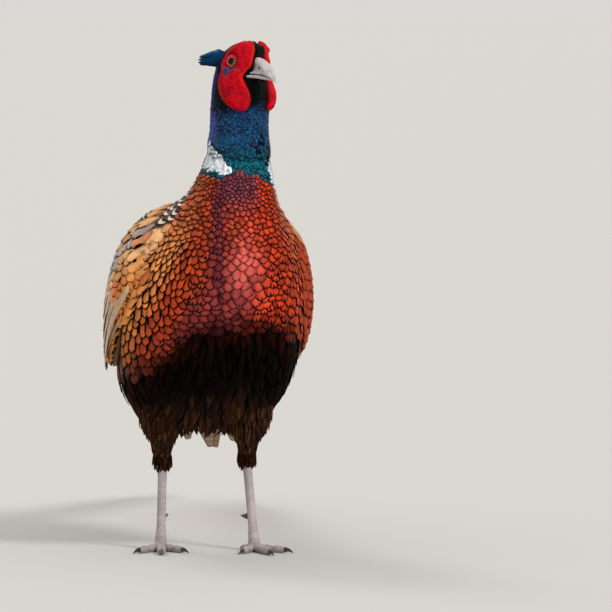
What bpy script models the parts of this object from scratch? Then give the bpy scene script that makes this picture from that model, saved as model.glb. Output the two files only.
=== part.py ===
"""A cock pheasant standing alert, life size.

Sizes here are millimetres and are turned into metres where an object is made. The bird faces -Y, up is +Z and
its own left side is +X. The sizes are given from a working origin on the floor between the feet, and the last
step sets the origin at the bottom centre of the whole bird's box.
"""

import math
from typing import NamedTuple

import bpy
import bmesh
import numpy as np

MM = 0.001
GAP = 0.35                 # between pieces that touch
ROOT_DEPTH = 1.5           # how far a pad starts inside what it lies on, before that is cut away
SINK = 0.55                # how far a cutter is swollen round the piece that it leaves room for
SIDES = {"left": 1, "right": -1}

TRUNK_SEGMENTS = 28        # points round the trunk and the neck
RINGS_PER_STATION = 2
TAIL_ROOT = 2              # the station where the trunk ends and the tail begins
NECK_ROOT = 11             # the station where the trunk ends and the neck begins
NECK_TOP = 14
UPPER_POWER = 2.45         # roundness of the back half of a section, 2 for an ellipse
LOWER_POWER = 2.5

HEAD_CENTRE = (19.6, -92.0, 421.0)
HEAD_TURN = 22.0           # degrees towards the bird's left
HEAD_LIFT = 4.0            # degrees, bill up

EYE_PLACE = (-2.0, 11.8, 2.4)
EYE_RADIUS = 6.4
LID_RADIUS = 7.9           # of the round that the lids make over the eye
LID_OPENING = (4.5, 4.1)   # half its length and half its height

TUFT_ROOT = (-21, 13.5, 6.5)
TUFT_FEATHERS = 5
TUFT_LENGTH = 25.0
TUFT_STEP = 1.1            # sideways, from one feather to the next
TUFT_FAN = 0.5

TAIL_TURN = 12.0           # degrees towards the bird's left
TAIL_DROOP = 16.0
RECTRIX_LENGTHS = (470, 425, 365, 310, 262, 222, 188, 160, 138)
RECTRIX_HALF_WIDTHS = (16.5, 15.5, 14.5, 13.5, 13, 12.5, 12, 11.5, 11)
VANE_THICKNESS = 0.6
VANE_STEP = 1.0            # from one vane to the next in a stack
COVERT_STEP = 1.15
TAIL_TOP = 3.4             # of the longest feather, over the tail's middle line
TAIL_CORE = (              # along, half width, half depth, up
    (18, 26, 17, 1),
    (34, 21, 12, 0.5),
    (48, 15, 7, -1),
    (58, 9, 3.5, -2),
)
TAIL_ROOF = 0.16           # how steeply the tail's two halves fall away from its middle

COLOURS = {
    "trunk": ((0.42, 0.12, 0.04), 0.6), "neck": ((0.03, 0.10, 0.20), 0.4), "head": ((0.02, 0.05, 0.06), 0.5),
    "wattle": ((0.62, 0.02, 0.03), 0.5), "eye": ((0.75, 0.35, 0.05), 0.1), "bill": ((0.72, 0.68, 0.60), 0.4),
    "tuft": ((0.01, 0.06, 0.14), 0.5), "wing": ((0.48, 0.33, 0.18), 0.6), "tail": ((0.42, 0.33, 0.20), 0.6),
    "thigh": ((0.07, 0.04, 0.03), 0.7), "shank": ((0.50, 0.46, 0.45), 0.5), "claw": ((0.20, 0.17, 0.15), 0.4),
}


class TailFeather(NamedTuple):
    """A tail feather, measured along the tail and out from its middle line."""

    length: float
    half_width: float
    start: float
    inner: float           # where its inner edge starts
    level: float
    fan: float             # degrees
    point: float           # how narrow the tip is, as a share of the half width
    steps: int


class Station(NamedTuple):
    """One section of trunk or neck: where it meets the back and the belly (y, z), and its half width."""

    back: tuple
    belly: tuple
    half_width: float
    shift: float           # of its middle towards the bird's left
    low: float             # how far its widest level lies below its middle, as a share of the half depth


STATIONS = (
    Station((222, 174), (214, 148), 31, 22, 0),
    Station((178, 190), (170, 156), 30, 13, 0),
    Station((137, 206), (130, 163), 32, 5, 0),
    Station((108, 228), (100, 138), 48, 2, 0.05),
    Station((72, 247), (64, 116), 64, 0.5, 0.08),
    Station((36, 263), (22, 105), 75.5, -1.5, 0.10),
    Station((4, 278), (-26, 112), 80, -3.5, 0.08),
    Station((-20, 291), (-70, 142), 79.5, -3.5, 0.05),
    Station((-36, 303), (-101, 186), 71, 0, 0),
    Station((-46, 313), (-118, 232), 55.5, 5.5, 0),
    Station((-53, 323), (-121, 268), 41, 8.5, 0),
    Station((-58, 337), (-115, 302), 32.5, 11.3, 0),
    Station((-60, 352), (-110, 330), 29, 12.7, 0),
    Station((-60.5, 366), (-108, 352), 27, 14, 0),
    Station((-60.5, 380), (-107, 371), 25, 13.5, 0),
)


class HeadRing(NamedTuple):
    """A level section of the head in its own frame: height, front and back reach, half width."""

    up: float
    front: float
    back: float
    half_width: float


HEAD_RINGS = (
    HeadRing(-34, 16.5, -40, 20.5),
    HeadRing(-25, 17, -41, 18.5),
    HeadRing(-16, 17.5, -41, 17.5),
    HeadRing(-7, 18, -39.5, 17),
    HeadRing(2, 18, -35, 16),
    HeadRing(9, 16.5, -29, 14.5),
    HeadRing(14, 13, -22.5, 12),
    HeadRing(17.6, 9, -15, 8),
    HeadRing(19.2, 3.5, -8, 3.5),
)
NAPE_FULLNESS = 0.42       # how much wider the back of the head is than its front


class BillRing(NamedTuple):
    """A section of one half of the bill: how far forward it is, its top and bottom, its half width."""

    forward: float
    top: float
    bottom: float
    half_width: float


UPPER_BILL = (
    BillRing(12, 5, -9, 8.5),
    BillRing(18, 4.6, -9.4, 8),
    BillRing(22, 3.2, -10, 7.2),
    BillRing(27, 0.2, -10.6, 6),
    BillRing(32, -4.6, -11.8, 4.6),
    BillRing(36, -10, -13.9, 3.2),
    BillRing(38.8, -15, -17, 1.8),
    BillRing(40.2, -18.2, -19, 0.7),
)
LOWER_BILL = (
    BillRing(12, -9.9, -16.6, 7.8),
    BillRing(18, -10.3, -16.3, 7.2),
    BillRing(24, -11.2, -16, 5.7),
    BillRing(30, -12.3, -15.8, 4),
    BillRing(34.2, -14.2, -16.2, 2.2),
    BillRing(35.8, -15.2, -16.2, 0.9),
)


class FaceRing(NamedTuple):
    """A level of the bare face skin on the head: its height, its front and back edge as turns from straight
    ahead, and how far it stands out."""

    up: float
    front: float
    back: float
    thick: float


FACE_RINGS = (
    FaceRing(-39.5, 44, 70, 3.0),      # lower end of the hanging cheek lobe
    FaceRing(-36.5, 34, 82, 5.6),
    FaceRing(-31, 30, 94, 6.6),
    FaceRing(-25, 34, 106, 6.8),
    FaceRing(-18, 42, 117, 6.4),
    FaceRing(-12, 47, 122, 5.4),
    FaceRing(-7, 46, 123, 3.4),        # the fold under the eye
    FaceRing(-2, 40, 121, 3.8),
    FaceRing(3, 34, 117, 4.0),
    FaceRing(7, 26, 112, 4.4),
    FaceRing(11, 21, 103, 5.6),        # the comb over the eye
    FaceRing(14.5, 24, 90, 4.8),
    FaceRing(16.8, 36, 72, 2.6),
)
FACE_FOLDS = 2.5           # upright folds across the cheek lobe
FACE_FOLD_DEPTH = 0.11


class Leg(NamedTuple):
    """Where one leg passes: inside the trunk, at the hock and over the foot."""

    hip: tuple
    knee: tuple
    hock: tuple
    foot: tuple
    toe_turn: float


LEGS = {
    "right": Leg((-42, -8, 152), (-40, -2, 122), (-34, 30, 75), (-37, 21, 9), -6),
    "left": Leg((33, -16, 152), (34, -10, 122), (38, 20, 77), (41.5, 3, 9), 6),
}
THIGH_SIZES = (            # half width and half depth, from the hip down to the hock
    (26, 33),
    (22, 27),
    (14.5, 18),
    (9.8, 11.5),
    (7, 7.8),
)


class Toe(NamedTuple):
    """A toe: its direction outwards from straight ahead, its length without the claw, and its radius."""

    angle: float
    length: float
    radius: float
    claw: float


TOES = {
    "inner": Toe(-34, 31, 3.3, 8.5),
    "middle": Toe(2, 45, 3.6, 10),
    "outer": Toe(36, 34, 3.3, 8.5),
    "hind": Toe(197, 15, 2.8, 7),
}


# Plain vector helpers

def unit(v):
    v = np.asarray(v, float)
    return v / np.linalg.norm(v)


def spin_about(axis, degrees):
    """The matrix of a turn about an axis."""
    x, y, z = unit(axis)
    c, s = math.cos(math.radians(degrees)), math.sin(math.radians(degrees))
    k = np.array([[0, -z, y], [z, 0, -x], [-y, x, 0]])
    return np.eye(3) + s * k + (1 - c) * k @ k


def through(values, at):
    """A smooth curve through evenly spaced values, read at a fractional index."""
    values = np.asarray(values, float)
    last = len(values) - 1
    i = int(min(max(math.floor(at), 0), last - 1))
    t = at - i
    before = values[i - 1] if i > 0 else 2 * values[i] - values[i + 1]
    after = values[i + 2] if i + 2 <= last else 2 * values[i + 1] - values[i]
    a, b = values[i], values[i + 1]
    square, cube = 2 * before - 5 * a + 4 * b - after, 3 * (a - b) + after - before
    return a + 0.5 * t * (b - before + t * (square + t * cube))


# Closed meshes as points and triangles

def volume(points, faces):
    corners = points[faces]
    return np.einsum("ij,ij->i", corners[:, 0], np.cross(corners[:, 1], corners[:, 2])).sum() / 6


def outward(points, faces):
    """The same mesh with its faces looking out."""
    points, faces = np.asarray(points, float), np.asarray(faces, int)
    return (points, faces[:, ::-1]) if volume(points, faces) < 0 else (points, faces)


def loft(rings):
    """A closed skin through rings of equal count, with a flat fan on each end."""
    rings = np.asarray(rings, float)
    rows, count = rings.shape[:2]
    faces = []
    for r in range(rows - 1):
        for k in range(count):
            a, b = r * count + k, r * count + (k + 1) % count
            faces += [(a, b, b + count), (a, b + count, a + count)]
    points = np.vstack([rings.reshape(-1, 3), rings[0].mean(0), rings[-1].mean(0)])
    start, end = rows * count, rows * count + 1
    for k in range(count):
        faces.append((start, (k + 1) % count, k))
        faces.append((end, (rows - 1) * count + k, (rows - 1) * count + (k + 1) % count))
    return outward(points, faces)


def tube(centres, sizes, count, across=(1, 0, 0)):
    """A loft along centres, each ring an ellipse of (half width, half depth) square to the run."""
    centres = np.asarray(centres, float)
    runs = np.gradient(centres, axis=0)
    turns = np.linspace(0, 2 * math.pi, count, endpoint=False)
    rings = []
    for centre, run, (half_width, half_depth) in zip(centres, runs, sizes):
        side = unit(np.asarray(across, float) - unit(run) * np.dot(across, unit(run))) * half_width
        deep = np.cross(unit(run), unit(side)) * half_depth
        rings.append([centre + side * math.cos(a) + deep * math.sin(a) for a in turns])
    return loft(rings)


def ball(centre, half_size, frame=np.eye(3), rows=8, count=12):
    """An egg of the given half sizes along the frame's rows."""
    rings = []
    for r in range(rows + 1):
        tilt = math.pi * min(max(r / rows, 0.03), 0.97)
        level, reach = math.cos(tilt), math.sin(tilt)
        turns = np.linspace(0, 2 * math.pi, count, endpoint=False)
        local = np.array([(reach * math.cos(a), reach * math.sin(a), level) for a in turns]) * half_size
        rings.append(np.asarray(centre) + local @ frame)
    return loft(rings)


def vane(columns, thickness):
    """A thin feather, both of its faces split into triangles alike. Each column holds its left edge, rib and
    right edge, and the normal there."""
    rings = []
    for (left, rib, right, normal), thick in zip(columns, thickness):
        half = unit(normal) * thick / 2
        rings.append([left + half, rib + half, right + half, right - half, rib - half, left - half])
    points = np.asarray(rings, float).reshape(-1, 3)
    mirror = {0: 5, 1: 4, 2: 3}
    faces = []
    for r in range(len(rings) - 1):
        a, b = 6 * r, 6 * (r + 1)
        for k in (0, 1):
            faces += [(a + k, a + k + 1, b + k + 1), (a + k, b + k + 1, b + k)]
            under, beside = mirror[k], mirror[k + 1]
            faces += [(a + under, b + beside, a + beside), (a + under, b + under, b + beside)]
        faces += [(a + 2, a + 3, b + 3), (a + 2, b + 3, b + 2)]
        faces += [(a + 5, a, b), (a + 5, b, b + 5)]
    for start, flip in ((0, False), (6 * (len(rings) - 1), True)):
        for cap in ((0, 5, 4), (0, 4, 1), (1, 4, 3), (1, 3, 2)):
            tri = tuple(start + c for c in cap)
            faces.append(tri[::-1] if flip else tri)
    return outward(points, faces)


def swollen(piece, by):
    """The piece with its surface moved outwards."""
    points, faces = piece
    normals = np.zeros_like(points)
    corners = points[faces]
    facing = np.cross(corners[:, 1] - corners[:, 0], corners[:, 2] - corners[:, 0])
    for k in range(3):
        np.add.at(normals, faces[:, k], facing)
    return points + by * normals / np.linalg.norm(normals, axis=1)[:, None], faces


def slab(low, high):
    """A plain box between two corners."""
    (x0, y0, z0), (x1, y1, z1) = low, high
    return loft([[(x0, y0, z), (x1, y0, z), (x1, y1, z), (x0, y1, z)] for z in (z0, z1)])


# Objects

def add_object(name, piece):
    mesh = bpy.data.meshes.new(name)
    mesh.from_pydata((piece[0] * MM).tolist(), [], piece[1].tolist())
    made = bpy.data.objects.new(name, mesh)
    bpy.context.scene.collection.objects.link(made)
    return made


def apply_boolean(target, pieces, operation, solver):
    """Joins the pieces to the target or cuts them from it, and removes them."""
    group = bpy.data.collections.new("pieces")
    bpy.context.scene.collection.children.link(group)
    for number, piece in enumerate(pieces):
        made = add_object(f"piece_{number}", piece)
        bpy.context.scene.collection.objects.unlink(made)
        group.objects.link(made)
    step = target.modifiers.new(operation.lower(), "BOOLEAN")
    step.operation = operation
    step.operand_type = "COLLECTION"
    step.collection = group
    step.solver = solver
    graph = bpy.context.evaluated_depsgraph_get()
    result = bpy.data.meshes.new_from_object(target.evaluated_get(graph))
    target.modifiers.clear()
    target.data = result
    for made in list(group.objects):
        bpy.data.objects.remove(made)
    bpy.data.collections.remove(group)


def keep_largest(target):
    """Leaves only the largest closed surface of the object's mesh."""
    work = bmesh.new()
    work.from_mesh(target.data)
    bmesh.ops.triangulate(work, faces=work.faces)
    left = set(work.verts)
    shells = []
    while left:
        grow = [left.pop()]
        shell = set(grow)
        while grow:
            for edge in grow.pop().link_edges:
                for corner in edge.verts:
                    if corner in left:
                        left.discard(corner)
                        shell.add(corner)
                        grow.append(corner)
        shells.append(shell)
    best = max(shells, key=shell_size)
    bmesh.ops.delete(work, geom=[v for v in work.verts if v not in best], context="VERTS")
    work.to_mesh(target.data)
    work.free()


def shell_size(shell):
    places = np.array([v.co for v in shell])
    return float(np.prod(places.max(0) - places.min(0)))


def finish_object(target, kind):
    """Gives the piece its material and its shading."""
    colour, roughness = COLOURS[kind]
    material = bpy.data.materials.get(kind) or bpy.data.materials.new(kind)
    material.use_nodes = True
    shader = material.node_tree.nodes["Principled BSDF"]
    shader.inputs["Base Color"].default_value = (*colour, 1)
    shader.inputs["Roughness"].default_value = roughness
    target.data.materials.clear()
    target.data.materials.append(material)
    target.data.shade_smooth()
    target.data.set_sharp_from_angle(angle=math.radians(40))
    return target


def build(name, kind, pieces, cutters=(), solver="EXACT"):
    """One node: pieces joined, cutters taken away, and only its largest surface kept."""
    target = add_object(name, pieces[0])
    if len(pieces) > 1:
        apply_boolean(target, pieces[1:], "UNION", solver)
    if cutters:
        apply_boolean(target, cutters, "DIFFERENCE", solver)
    if len(pieces) > 1 or cutters:
        keep_largest(target)
    return finish_object(target, kind)


# Trunk and neck

def trunk_point(station, angle, lift=0.0):
    """A point of the trunk's or neck's surface. The angle is 0 on the breast line, 90 on the left side and
    180 on the back, and lift moves it outwards."""
    back_y, back_z = through([s.back for s in STATIONS], station)
    belly_y, belly_z = through([s.belly for s in STATIONS], station)
    half_width, shift, low = through([(s.half_width, s.shift, s.low) for s in STATIONS], station)
    middle = np.array([shift, (back_y + belly_y) / 2, (back_z + belly_z) / 2])
    deep = np.array([0, (back_y - belly_y) / 2, (back_z - belly_z) / 2])
    depth = np.linalg.norm(deep)
    upwards = deep / depth
    turn = math.radians(angle)
    out, up = math.sin(turn), -math.cos(turn)
    power = 2 / (UPPER_POWER if up > 0 else LOWER_POWER)
    side = math.copysign(abs(out) ** power, out) * half_width
    rise = math.copysign(abs(up) ** power, up) * (1 + low if up > 0 else 1 - low) - low
    point = middle + upwards * rise * depth
    point[0] += side
    if lift:
        out_way = np.array([math.sin(turn) * depth, 0, 0]) - upwards * math.cos(turn) * half_width
        point = point + unit(out_way) * lift
    return point


def trunk_ring(station, lift=0.0):
    return [trunk_point(station, 360 * k / TRUNK_SEGMENTS, lift) for k in range(TRUNK_SEGMENTS)]


def trunk_piece(first, last, lift=0.0):
    count = int((last - first) * RINGS_PER_STATION)
    return loft([trunk_ring(first + k / RINGS_PER_STATION, lift) for k in range(count + 1)])


def ring_axis(ring):
    """The way out of a ring's plane, towards the head."""
    ring = np.asarray(ring)
    quarter = len(ring) // 4
    return unit(np.cross(ring[quarter] - ring[3 * quarter], ring[2 * quarter] - ring[0]))


def neck_rings():
    count = (NECK_TOP - NECK_ROOT) * RINGS_PER_STATION
    rings = [np.array(trunk_ring(NECK_ROOT + k / RINGS_PER_STATION)) for k in range(count + 1)]
    rings[0] = rings[0] + ring_axis(rings[0]) * GAP
    return rings


# Head

def head_frame():
    """Rows: forward, left, up."""
    level = spin_about((0, 0, 1), HEAD_TURN) @ np.array([0, -1, 0])
    left = np.cross((0, 0, 1), level)
    forward = spin_about(left, -HEAD_LIFT) @ level
    return np.array([forward, left, np.cross(forward, left)])


def on_head(forward, left, up):
    return np.array(HEAD_CENTRE) + np.array([forward, left, up]) @ head_frame()


def head_point(up, turn, lift=0.0):
    """A point of the head's surface. The turn is 0 straight ahead and 90 on the left. Lift moves it out."""
    heights = [r.up for r in HEAD_RINGS]
    front, back, half_width = (np.interp(up, heights, [r[k] for r in HEAD_RINGS]) for k in (1, 2, 3))
    ahead, out = math.cos(math.radians(turn)), math.sin(math.radians(turn))
    reach = front if ahead > 0 else -back
    place = np.array([reach * ahead, half_width * out * (1 - NAPE_FULLNESS * ahead)])
    away = unit((half_width * ahead, reach * out)) * lift
    crown = max(0.0, up - 6) / 13
    return on_head(*(place + away * (1 - 0.6 * crown)), up + lift * crown)


def head_core():
    base = neck_rings()[-1]
    turns = [360 * k / TRUNK_SEGMENTS - HEAD_TURN for k in range(TRUNK_SEGMENTS)]
    return loft([base + ring_axis(base) * GAP] + [[head_point(r.up, t) for t in turns] for r in HEAD_RINGS])


def bill_half(rings, meets_below):
    """A bill half with a flat face where it meets the other half, and a rounded one elsewhere."""
    made = []
    for ring in rings:
        middle, half = (ring.top + ring.bottom) / 2, (ring.top - ring.bottom) / 2
        points = []
        for turn in np.linspace(0, 2 * math.pi, 14, endpoint=False):
            out, rise = math.cos(turn), math.sin(turn)
            power = 0.3 if (rise < 0) == meets_below else 0.8
            points.append(on_head(ring.forward, ring.half_width * math.copysign(abs(out) ** 0.8, out),
                                  middle + half * math.copysign(abs(rise) ** power, rise)))
        made.append(points)
    return loft(made)


def eye_frame(sign):
    """Rows: two ways across the eye, then the way that it looks."""
    forward, left, up = head_frame()
    look = unit(left * sign + forward * 0.28 + up * 0.05)
    across = unit(forward - look * np.dot(forward, look))
    return np.array([across, np.cross(look, across), look])


def eye_centre(sign):
    return on_head(EYE_PLACE[0], sign * EYE_PLACE[1], EYE_PLACE[2])


def eyelids(sign):
    """The round of skin over the eye, and the opening that shows it."""
    centre, frame = eye_centre(sign), eye_frame(sign)
    opening = ball(centre + frame[2] * 8, (*LID_OPENING, 7), frame, 6, 14)
    return ball(centre, (LID_RADIUS, LID_RADIUS * 0.95, LID_RADIUS), frame, 8, 14), opening


def nostril(sign):
    """A slanting slot under the swelling at the base of the bill."""
    forward, left, up = head_frame()
    run = unit(forward * 0.9 - up * 0.45)
    frame = np.array([run, left, np.cross(run, left)])
    return ball(on_head(22.5, sign * 7.6, -4.2), (2.9, 2.6, 0.9), frame, 6, 8)


def nostril_cover(sign):
    return ball(on_head(19.5, sign * 5.0, -1.4), (6, 3.4, 3.2), head_frame(), 6, 10)


def face_skin(sign):
    """The bare red skin from the comb over the eye to the hanging cheek lobe, with upright folds."""
    made = []
    for ring in FACE_RINGS:
        points = []
        for t in np.linspace(0, 1, 10):
            turn = (ring.front + (ring.back - ring.front) * t) * sign
            fold = 1 + FACE_FOLD_DEPTH * math.cos(2 * math.pi * (FACE_FOLDS * t + 0.015 * ring.up))
            rise = math.sin(math.pi * (0.04 + 0.92 * t)) ** 0.4
            points.append(head_point(ring.up, turn, ring.thick * fold * rise))
        for turn in np.linspace(ring.back, ring.front, 5):
            points.append(head_point(ring.up, turn * sign, -ROOT_DEPTH))
        made.append(points)
    return loft(made)


def tuft_pieces(sign):
    """The ear tuft: a small root in the head and stiff little feathers fanned from it."""
    forward, left, up = head_frame()
    root = on_head(TUFT_ROOT[0], TUFT_ROOT[1] * sign, TUFT_ROOT[2])
    run = unit(-forward * 0.93 + left * sign * 0.34 - up * 0.07)
    side = unit(left * sign - run * np.dot(left * sign, run))
    rise = np.cross(run, side) * (1 if np.dot(np.cross(run, side), up) > 0 else -1)
    pieces = [ball(root - run * 1.5, (8, 4.2, 6.4), np.array([run, side, rise]), 6, 10)]
    for k in range(TUFT_FEATHERS):
        share = k / (TUFT_FEATHERS - 1) - 0.5
        way = unit(run + rise * share * TUFT_FAN)
        start = root + rise * share * 8 + side * share * (TUFT_FEATHERS - 1) * TUFT_STEP - way * 3
        length = TUFT_LENGTH * (1 - 0.9 * share * share)
        columns = []
        for t, wide in ((0, 1.8), (0.45, 3.1), (0.8, 2.5), (1.0, 0.7)):
            at = start + way * length * t
            flat = np.cross(side, way) * wide
            columns.append((at - flat, at + side * 0.25, at + flat, side))
        pieces.append(vane(columns, (0.7,) * 4))
    return pieces


# Wings

class Tier(NamedTuple):
    """A row of wing feathers. Places are (station, angle), of the lowest feather and the one nearest the
    back."""

    count: int
    root_low: tuple
    root_high: tuple
    tip_low: tuple
    tip_high: tuple
    half_width: float
    lift: float            # above the trunk
    slope: float           # how steeply each feather's lower edge stands off, to lie over the next one down
    point: float           # how narrow the tip is, as a share of the half width


TIERS = {
    "primaries": Tier(4, (5.3, 90), (5.2, 112), (3.3, 82), (0.75, 110), 7.5, 2.6, 0.15, 0.3),
    "secondaries": Tier(6, (6.3, 93), (6.0, 146), (3.0, 92), (1.75, 146), 10, 5.2, 0.10, 0.45),
    "greater_coverts": Tier(5, (7.3, 94), (7.3, 132), (4.8, 91), (4.5, 136), 9.5, 7.8, 0.10, 0.55),
    "scapulars": Tier(3, (7.5, 142), (7.5, 158), (3.7, 144), (3.4, 163), 9.5, 7.8, 0.10, 0.5),
}
COLUMN_STEP = 0.8          # stations between a wing feather's columns, the same places in all of them


class PadRing(NamedTuple):
    """A section of the folded wing's closed body: its station, lowest and highest angle, and thickness."""

    station: float
    low: float
    high: float
    thick: float


PAD = (
    PadRing(8.5, 104, 150, 2.0),
    PadRing(8.0, 90, 160, 6.0),
    PadRing(7.3, 82, 165, 9.0),
    PadRing(6.6, 79, 164, 7.6),
    PadRing(5.9, 78, 163, 5.9),
    PadRing(5.2, 78, 160, 4.3),
    PadRing(4.5, 80, 156, 3.0),
    PadRing(3.8, 85, 150, 2.2),
    PadRing(3.2, 92, 140, 1.6),
)


def wing_pad(sign):
    """The closed body of the folded wing, reaching a little into the trunk, which is then cut from it."""
    made = []
    for ring in PAD:
        points = []
        for t in np.linspace(0, 1, 7):
            rise = 1 + (ring.thick - 1) * math.sin(math.pi * (0.06 + 0.88 * t)) ** 0.3
            points.append(trunk_point(ring.station, (ring.low + (ring.high - ring.low) * t) * sign, rise))
        for angle in np.linspace(ring.high, ring.low, 7):
            points.append(trunk_point(ring.station, angle * sign, -ROOT_DEPTH))
        made.append(points)
    return loft(made)


def wing_vane(tier, share, sign):
    """One feather of a tier, laid along the trunk."""
    root = np.array(tier.root_low) + (np.array(tier.root_high) - tier.root_low) * share
    tip = np.array(tier.tip_low) + (np.array(tier.tip_high) - tier.tip_low) * share
    first, last = math.ceil(tip[0] / COLUMN_STEP + 0.3), math.floor(root[0] / COLUMN_STEP - 0.3)
    stops = [root[0]] + [k * COLUMN_STEP for k in range(last, first - 1, -1)] + [tip[0]]
    columns = []
    for station in stops:
        t = (root[0] - station) / (root[0] - tip[0])
        angle = root[1] + (tip[1] - root[1]) * t
        wide = tier.half_width * (0.6 + 0.4 * min(1, t * 3))
        wide *= 1 - (1 - tier.point) * max(0, (t - 0.75) / 0.25)
        arc = np.linalg.norm(trunk_point(station, angle + 1) - trunk_point(station, angle - 1)) / 2
        edges = [trunk_point(station, (angle + a * wide / arc) * sign, tier.lift - a * wide * tier.slope)
                 for a in (-1, 0, 1)]
        columns.append((*edges, edges[1] - trunk_point(station, angle * sign)))
    return vane(columns, (VANE_THICKNESS,) * len(columns))


def wing_pieces(sign):
    pieces = [wing_pad(sign)]
    for tier in TIERS.values():
        pieces += [wing_vane(tier, k / (tier.count - 1), sign) for k in range(tier.count)]
    return pieces


# Tail

def tail_frame():
    """Rows: along the tail, across it to the bird's left, and up."""
    level = spin_about((0, 0, 1), -TAIL_TURN) @ np.array([0, 1, 0])
    left = np.cross(level, (0, 0, 1))
    along = spin_about(left, -TAIL_DROOP) @ level
    return np.array([along, left, np.cross(left, along)])


def on_tail(along, left, up):
    """A place on the tail. It sags a little towards its end."""
    sag = -0.00006 * max(along - 60, 0) ** 2
    root = np.mean(trunk_ring(TAIL_ROOT), axis=0)
    return root + np.array([along, left, up + sag]) @ tail_frame()


def tail_core():
    """The fleshy end of the bird that the tail feathers grow from."""
    base = np.array(trunk_ring(TAIL_ROOT))
    turns = np.linspace(0, 2 * math.pi, TRUNK_SEGMENTS, endpoint=False)
    rings = [base - ring_axis(base) * GAP]
    for along, half_width, half_depth, up in TAIL_CORE:
        rings.append([on_tail(along, half_width * math.sin(a), up - half_depth * math.cos(a)) for a in turns])
    return loft(rings)


def tail_vane(feather, sign):
    """One straight tail feather on one side of the tail."""
    columns = []
    for k in range(feather.steps + 1):
        t = k / feather.steps
        along = feather.start + (feather.length - feather.start) * t
        wide = feather.half_width * (0.45 + 0.55 * min(1, t * 3.2))
        wide *= 1 - (1 - feather.point) * max(0, (t - 0.55) / 0.45) ** 1.3
        spread = (along - feather.start) * math.tan(math.radians(feather.fan))
        middle = feather.inner + feather.half_width + spread
        places = [middle - wide, middle, middle + wide]
        edges = [on_tail(along, out * sign, feather.level - TAIL_ROOF * abs(out)) for out in places]
        columns.append((*edges, tail_frame()[2]))
    return vane(columns, (VANE_THICKNESS,) * len(columns))


def tail_pieces():
    """Nine pairs of tail feathers in steps, the longest on top, with coverts over and under their roots."""
    half, length = RECTRIX_HALF_WIDTHS[0], RECTRIX_LENGTHS[0]
    pieces = [tail_core()]
    pieces.append(tail_vane(TailFeather(length, half, 40, 1 - half, TAIL_TOP, 0.15, 0.16, 6), 1))
    pieces.append(tail_vane(TailFeather(length - 6, half, 40, 1 - half, TAIL_TOP - 1.1, 0.15, 0.16, 6), -1))
    feathers = []
    for k in range(1, len(RECTRIX_LENGTHS)):
        feathers.append(TailFeather(RECTRIX_LENGTHS[k], RECTRIX_HALF_WIDTHS[k], 34, 0.5 + 0.5 * k,
                                    TAIL_TOP - 1.4 - VANE_STEP * k, 0.25 + 0.4 * k, 0.3, 5 if k < 4 else 3))
    for k in range(3):
        level = TAIL_TOP + 3.7 - COVERT_STEP * k
        feathers.append(TailFeather(150 - 16 * k, 7.5, 28, 0.7 + 6 * k, level, 0.3 + 1.1 * k, 0.4, 3))
    for k in range(2):
        level = TAIL_TOP - 10.8 - COVERT_STEP * k
        feathers.append(TailFeather(118 - 14 * k, 8.5, 26, 0.7 + 6 * k, level, 0.4 + 1.2 * k, 0.4, 3))
    return pieces + [tail_vane(feather, sign) for feather in feathers for sign in SIDES.values()]


# Legs

def thigh_piece(leg):
    """The feathered part of the leg, down to the hock."""
    hip, knee, hock = (np.array(p, float) for p in (leg.hip, leg.knee, leg.hock))
    spots = [hip, knee, knee + (hock - knee) * 0.42, knee + (hock - knee) * 0.74, hock]
    steps = np.linspace(0, len(spots) - 1, 10)
    return tube([through(spots, t) for t in steps], [through(THIGH_SIZES, t) for t in steps], 18)


def shank_run(leg):
    hock, foot = np.array(leg.hock, float), np.array(leg.foot, float)
    return hock, foot, unit(foot - hock)


def shank_piece(leg):
    """The bare lower leg, with its front scutes as steps in its outline."""
    hock, foot, run = shank_run(leg)
    start = hock - run * 3
    length = np.linalg.norm(foot - start)
    places, sizes = [start], [(5.4, 6.2)]
    scutes = 7
    for k in range(scutes):
        for part, swell in ((0.12, 0.28), (0.92, -0.12)):
            t = (k + part) / scutes
            knuckle = 1.1 * math.exp(-((t - 0.03) / 0.1) ** 2) + 0.9 * math.exp(-((t - 0.97) / 0.1) ** 2)
            places.append(start + run * length * t)
            sizes.append((3.8 + swell + knuckle, 4.4 + swell + knuckle))
    places.append(foot + run * 4)
    sizes.append((4.9, 5.4))
    return tube(places, sizes, 8)


def spur_root(leg, sign):
    """A place on the inner back of the shank and the way that the spur grows there."""
    hock, foot, run = shank_run(leg)
    way = unit(np.array([-0.55 * sign, 0.8, -0.15]))
    return foot - run * 22 + way * 3.4, way


def spur_piece(leg, sign):
    root, way = spur_root(leg, sign)
    places = [root + way * t for t in (0, 2.5, 5.5, 8.5, 11)]
    lifted = [p + np.array([0, 0, 0.012 * t * t]) for p, t in zip(places, (0, 2.5, 5.5, 8.5, 11))]
    return tube(lifted, [(3.2, 3.2), (2.9, 2.9), (2.1, 2.1), (1.2, 1.2), (0.3, 0.3)], 8, across=(0, 0, 1))


def toe_way(leg, toe, sign):
    """The level direction of a toe."""
    turn = math.radians(toe.angle * sign + leg.toe_turn)
    return np.array([math.sin(turn), -math.cos(turn), 0])


def toe_places(leg, toe, sign):
    """The toe's middle line: down from the foot to the floor and along it."""
    foot, way = np.array(leg.foot, float), toe_way(leg, toe, sign)
    lay = toe.radius * 0.82
    return [np.array([*(foot + way * toe.length * t)[:2], lay + (5.2 - lay) * max(0, 1 - t * 3.2)])
            for t in (0.0, 0.2, 0.4, 0.6, 0.8, 0.95, 1.0)]


def toe_piece(leg, toe, sign):
    swells = (1.12, 1.08, 0.92, 1.04, 0.86, 0.92, 0.7)
    sizes = [(toe.radius * s, toe.radius * s) for s in swells]
    return tube(toe_places(leg, toe, sign), sizes, 8, across=(0, 0, 1))


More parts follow.
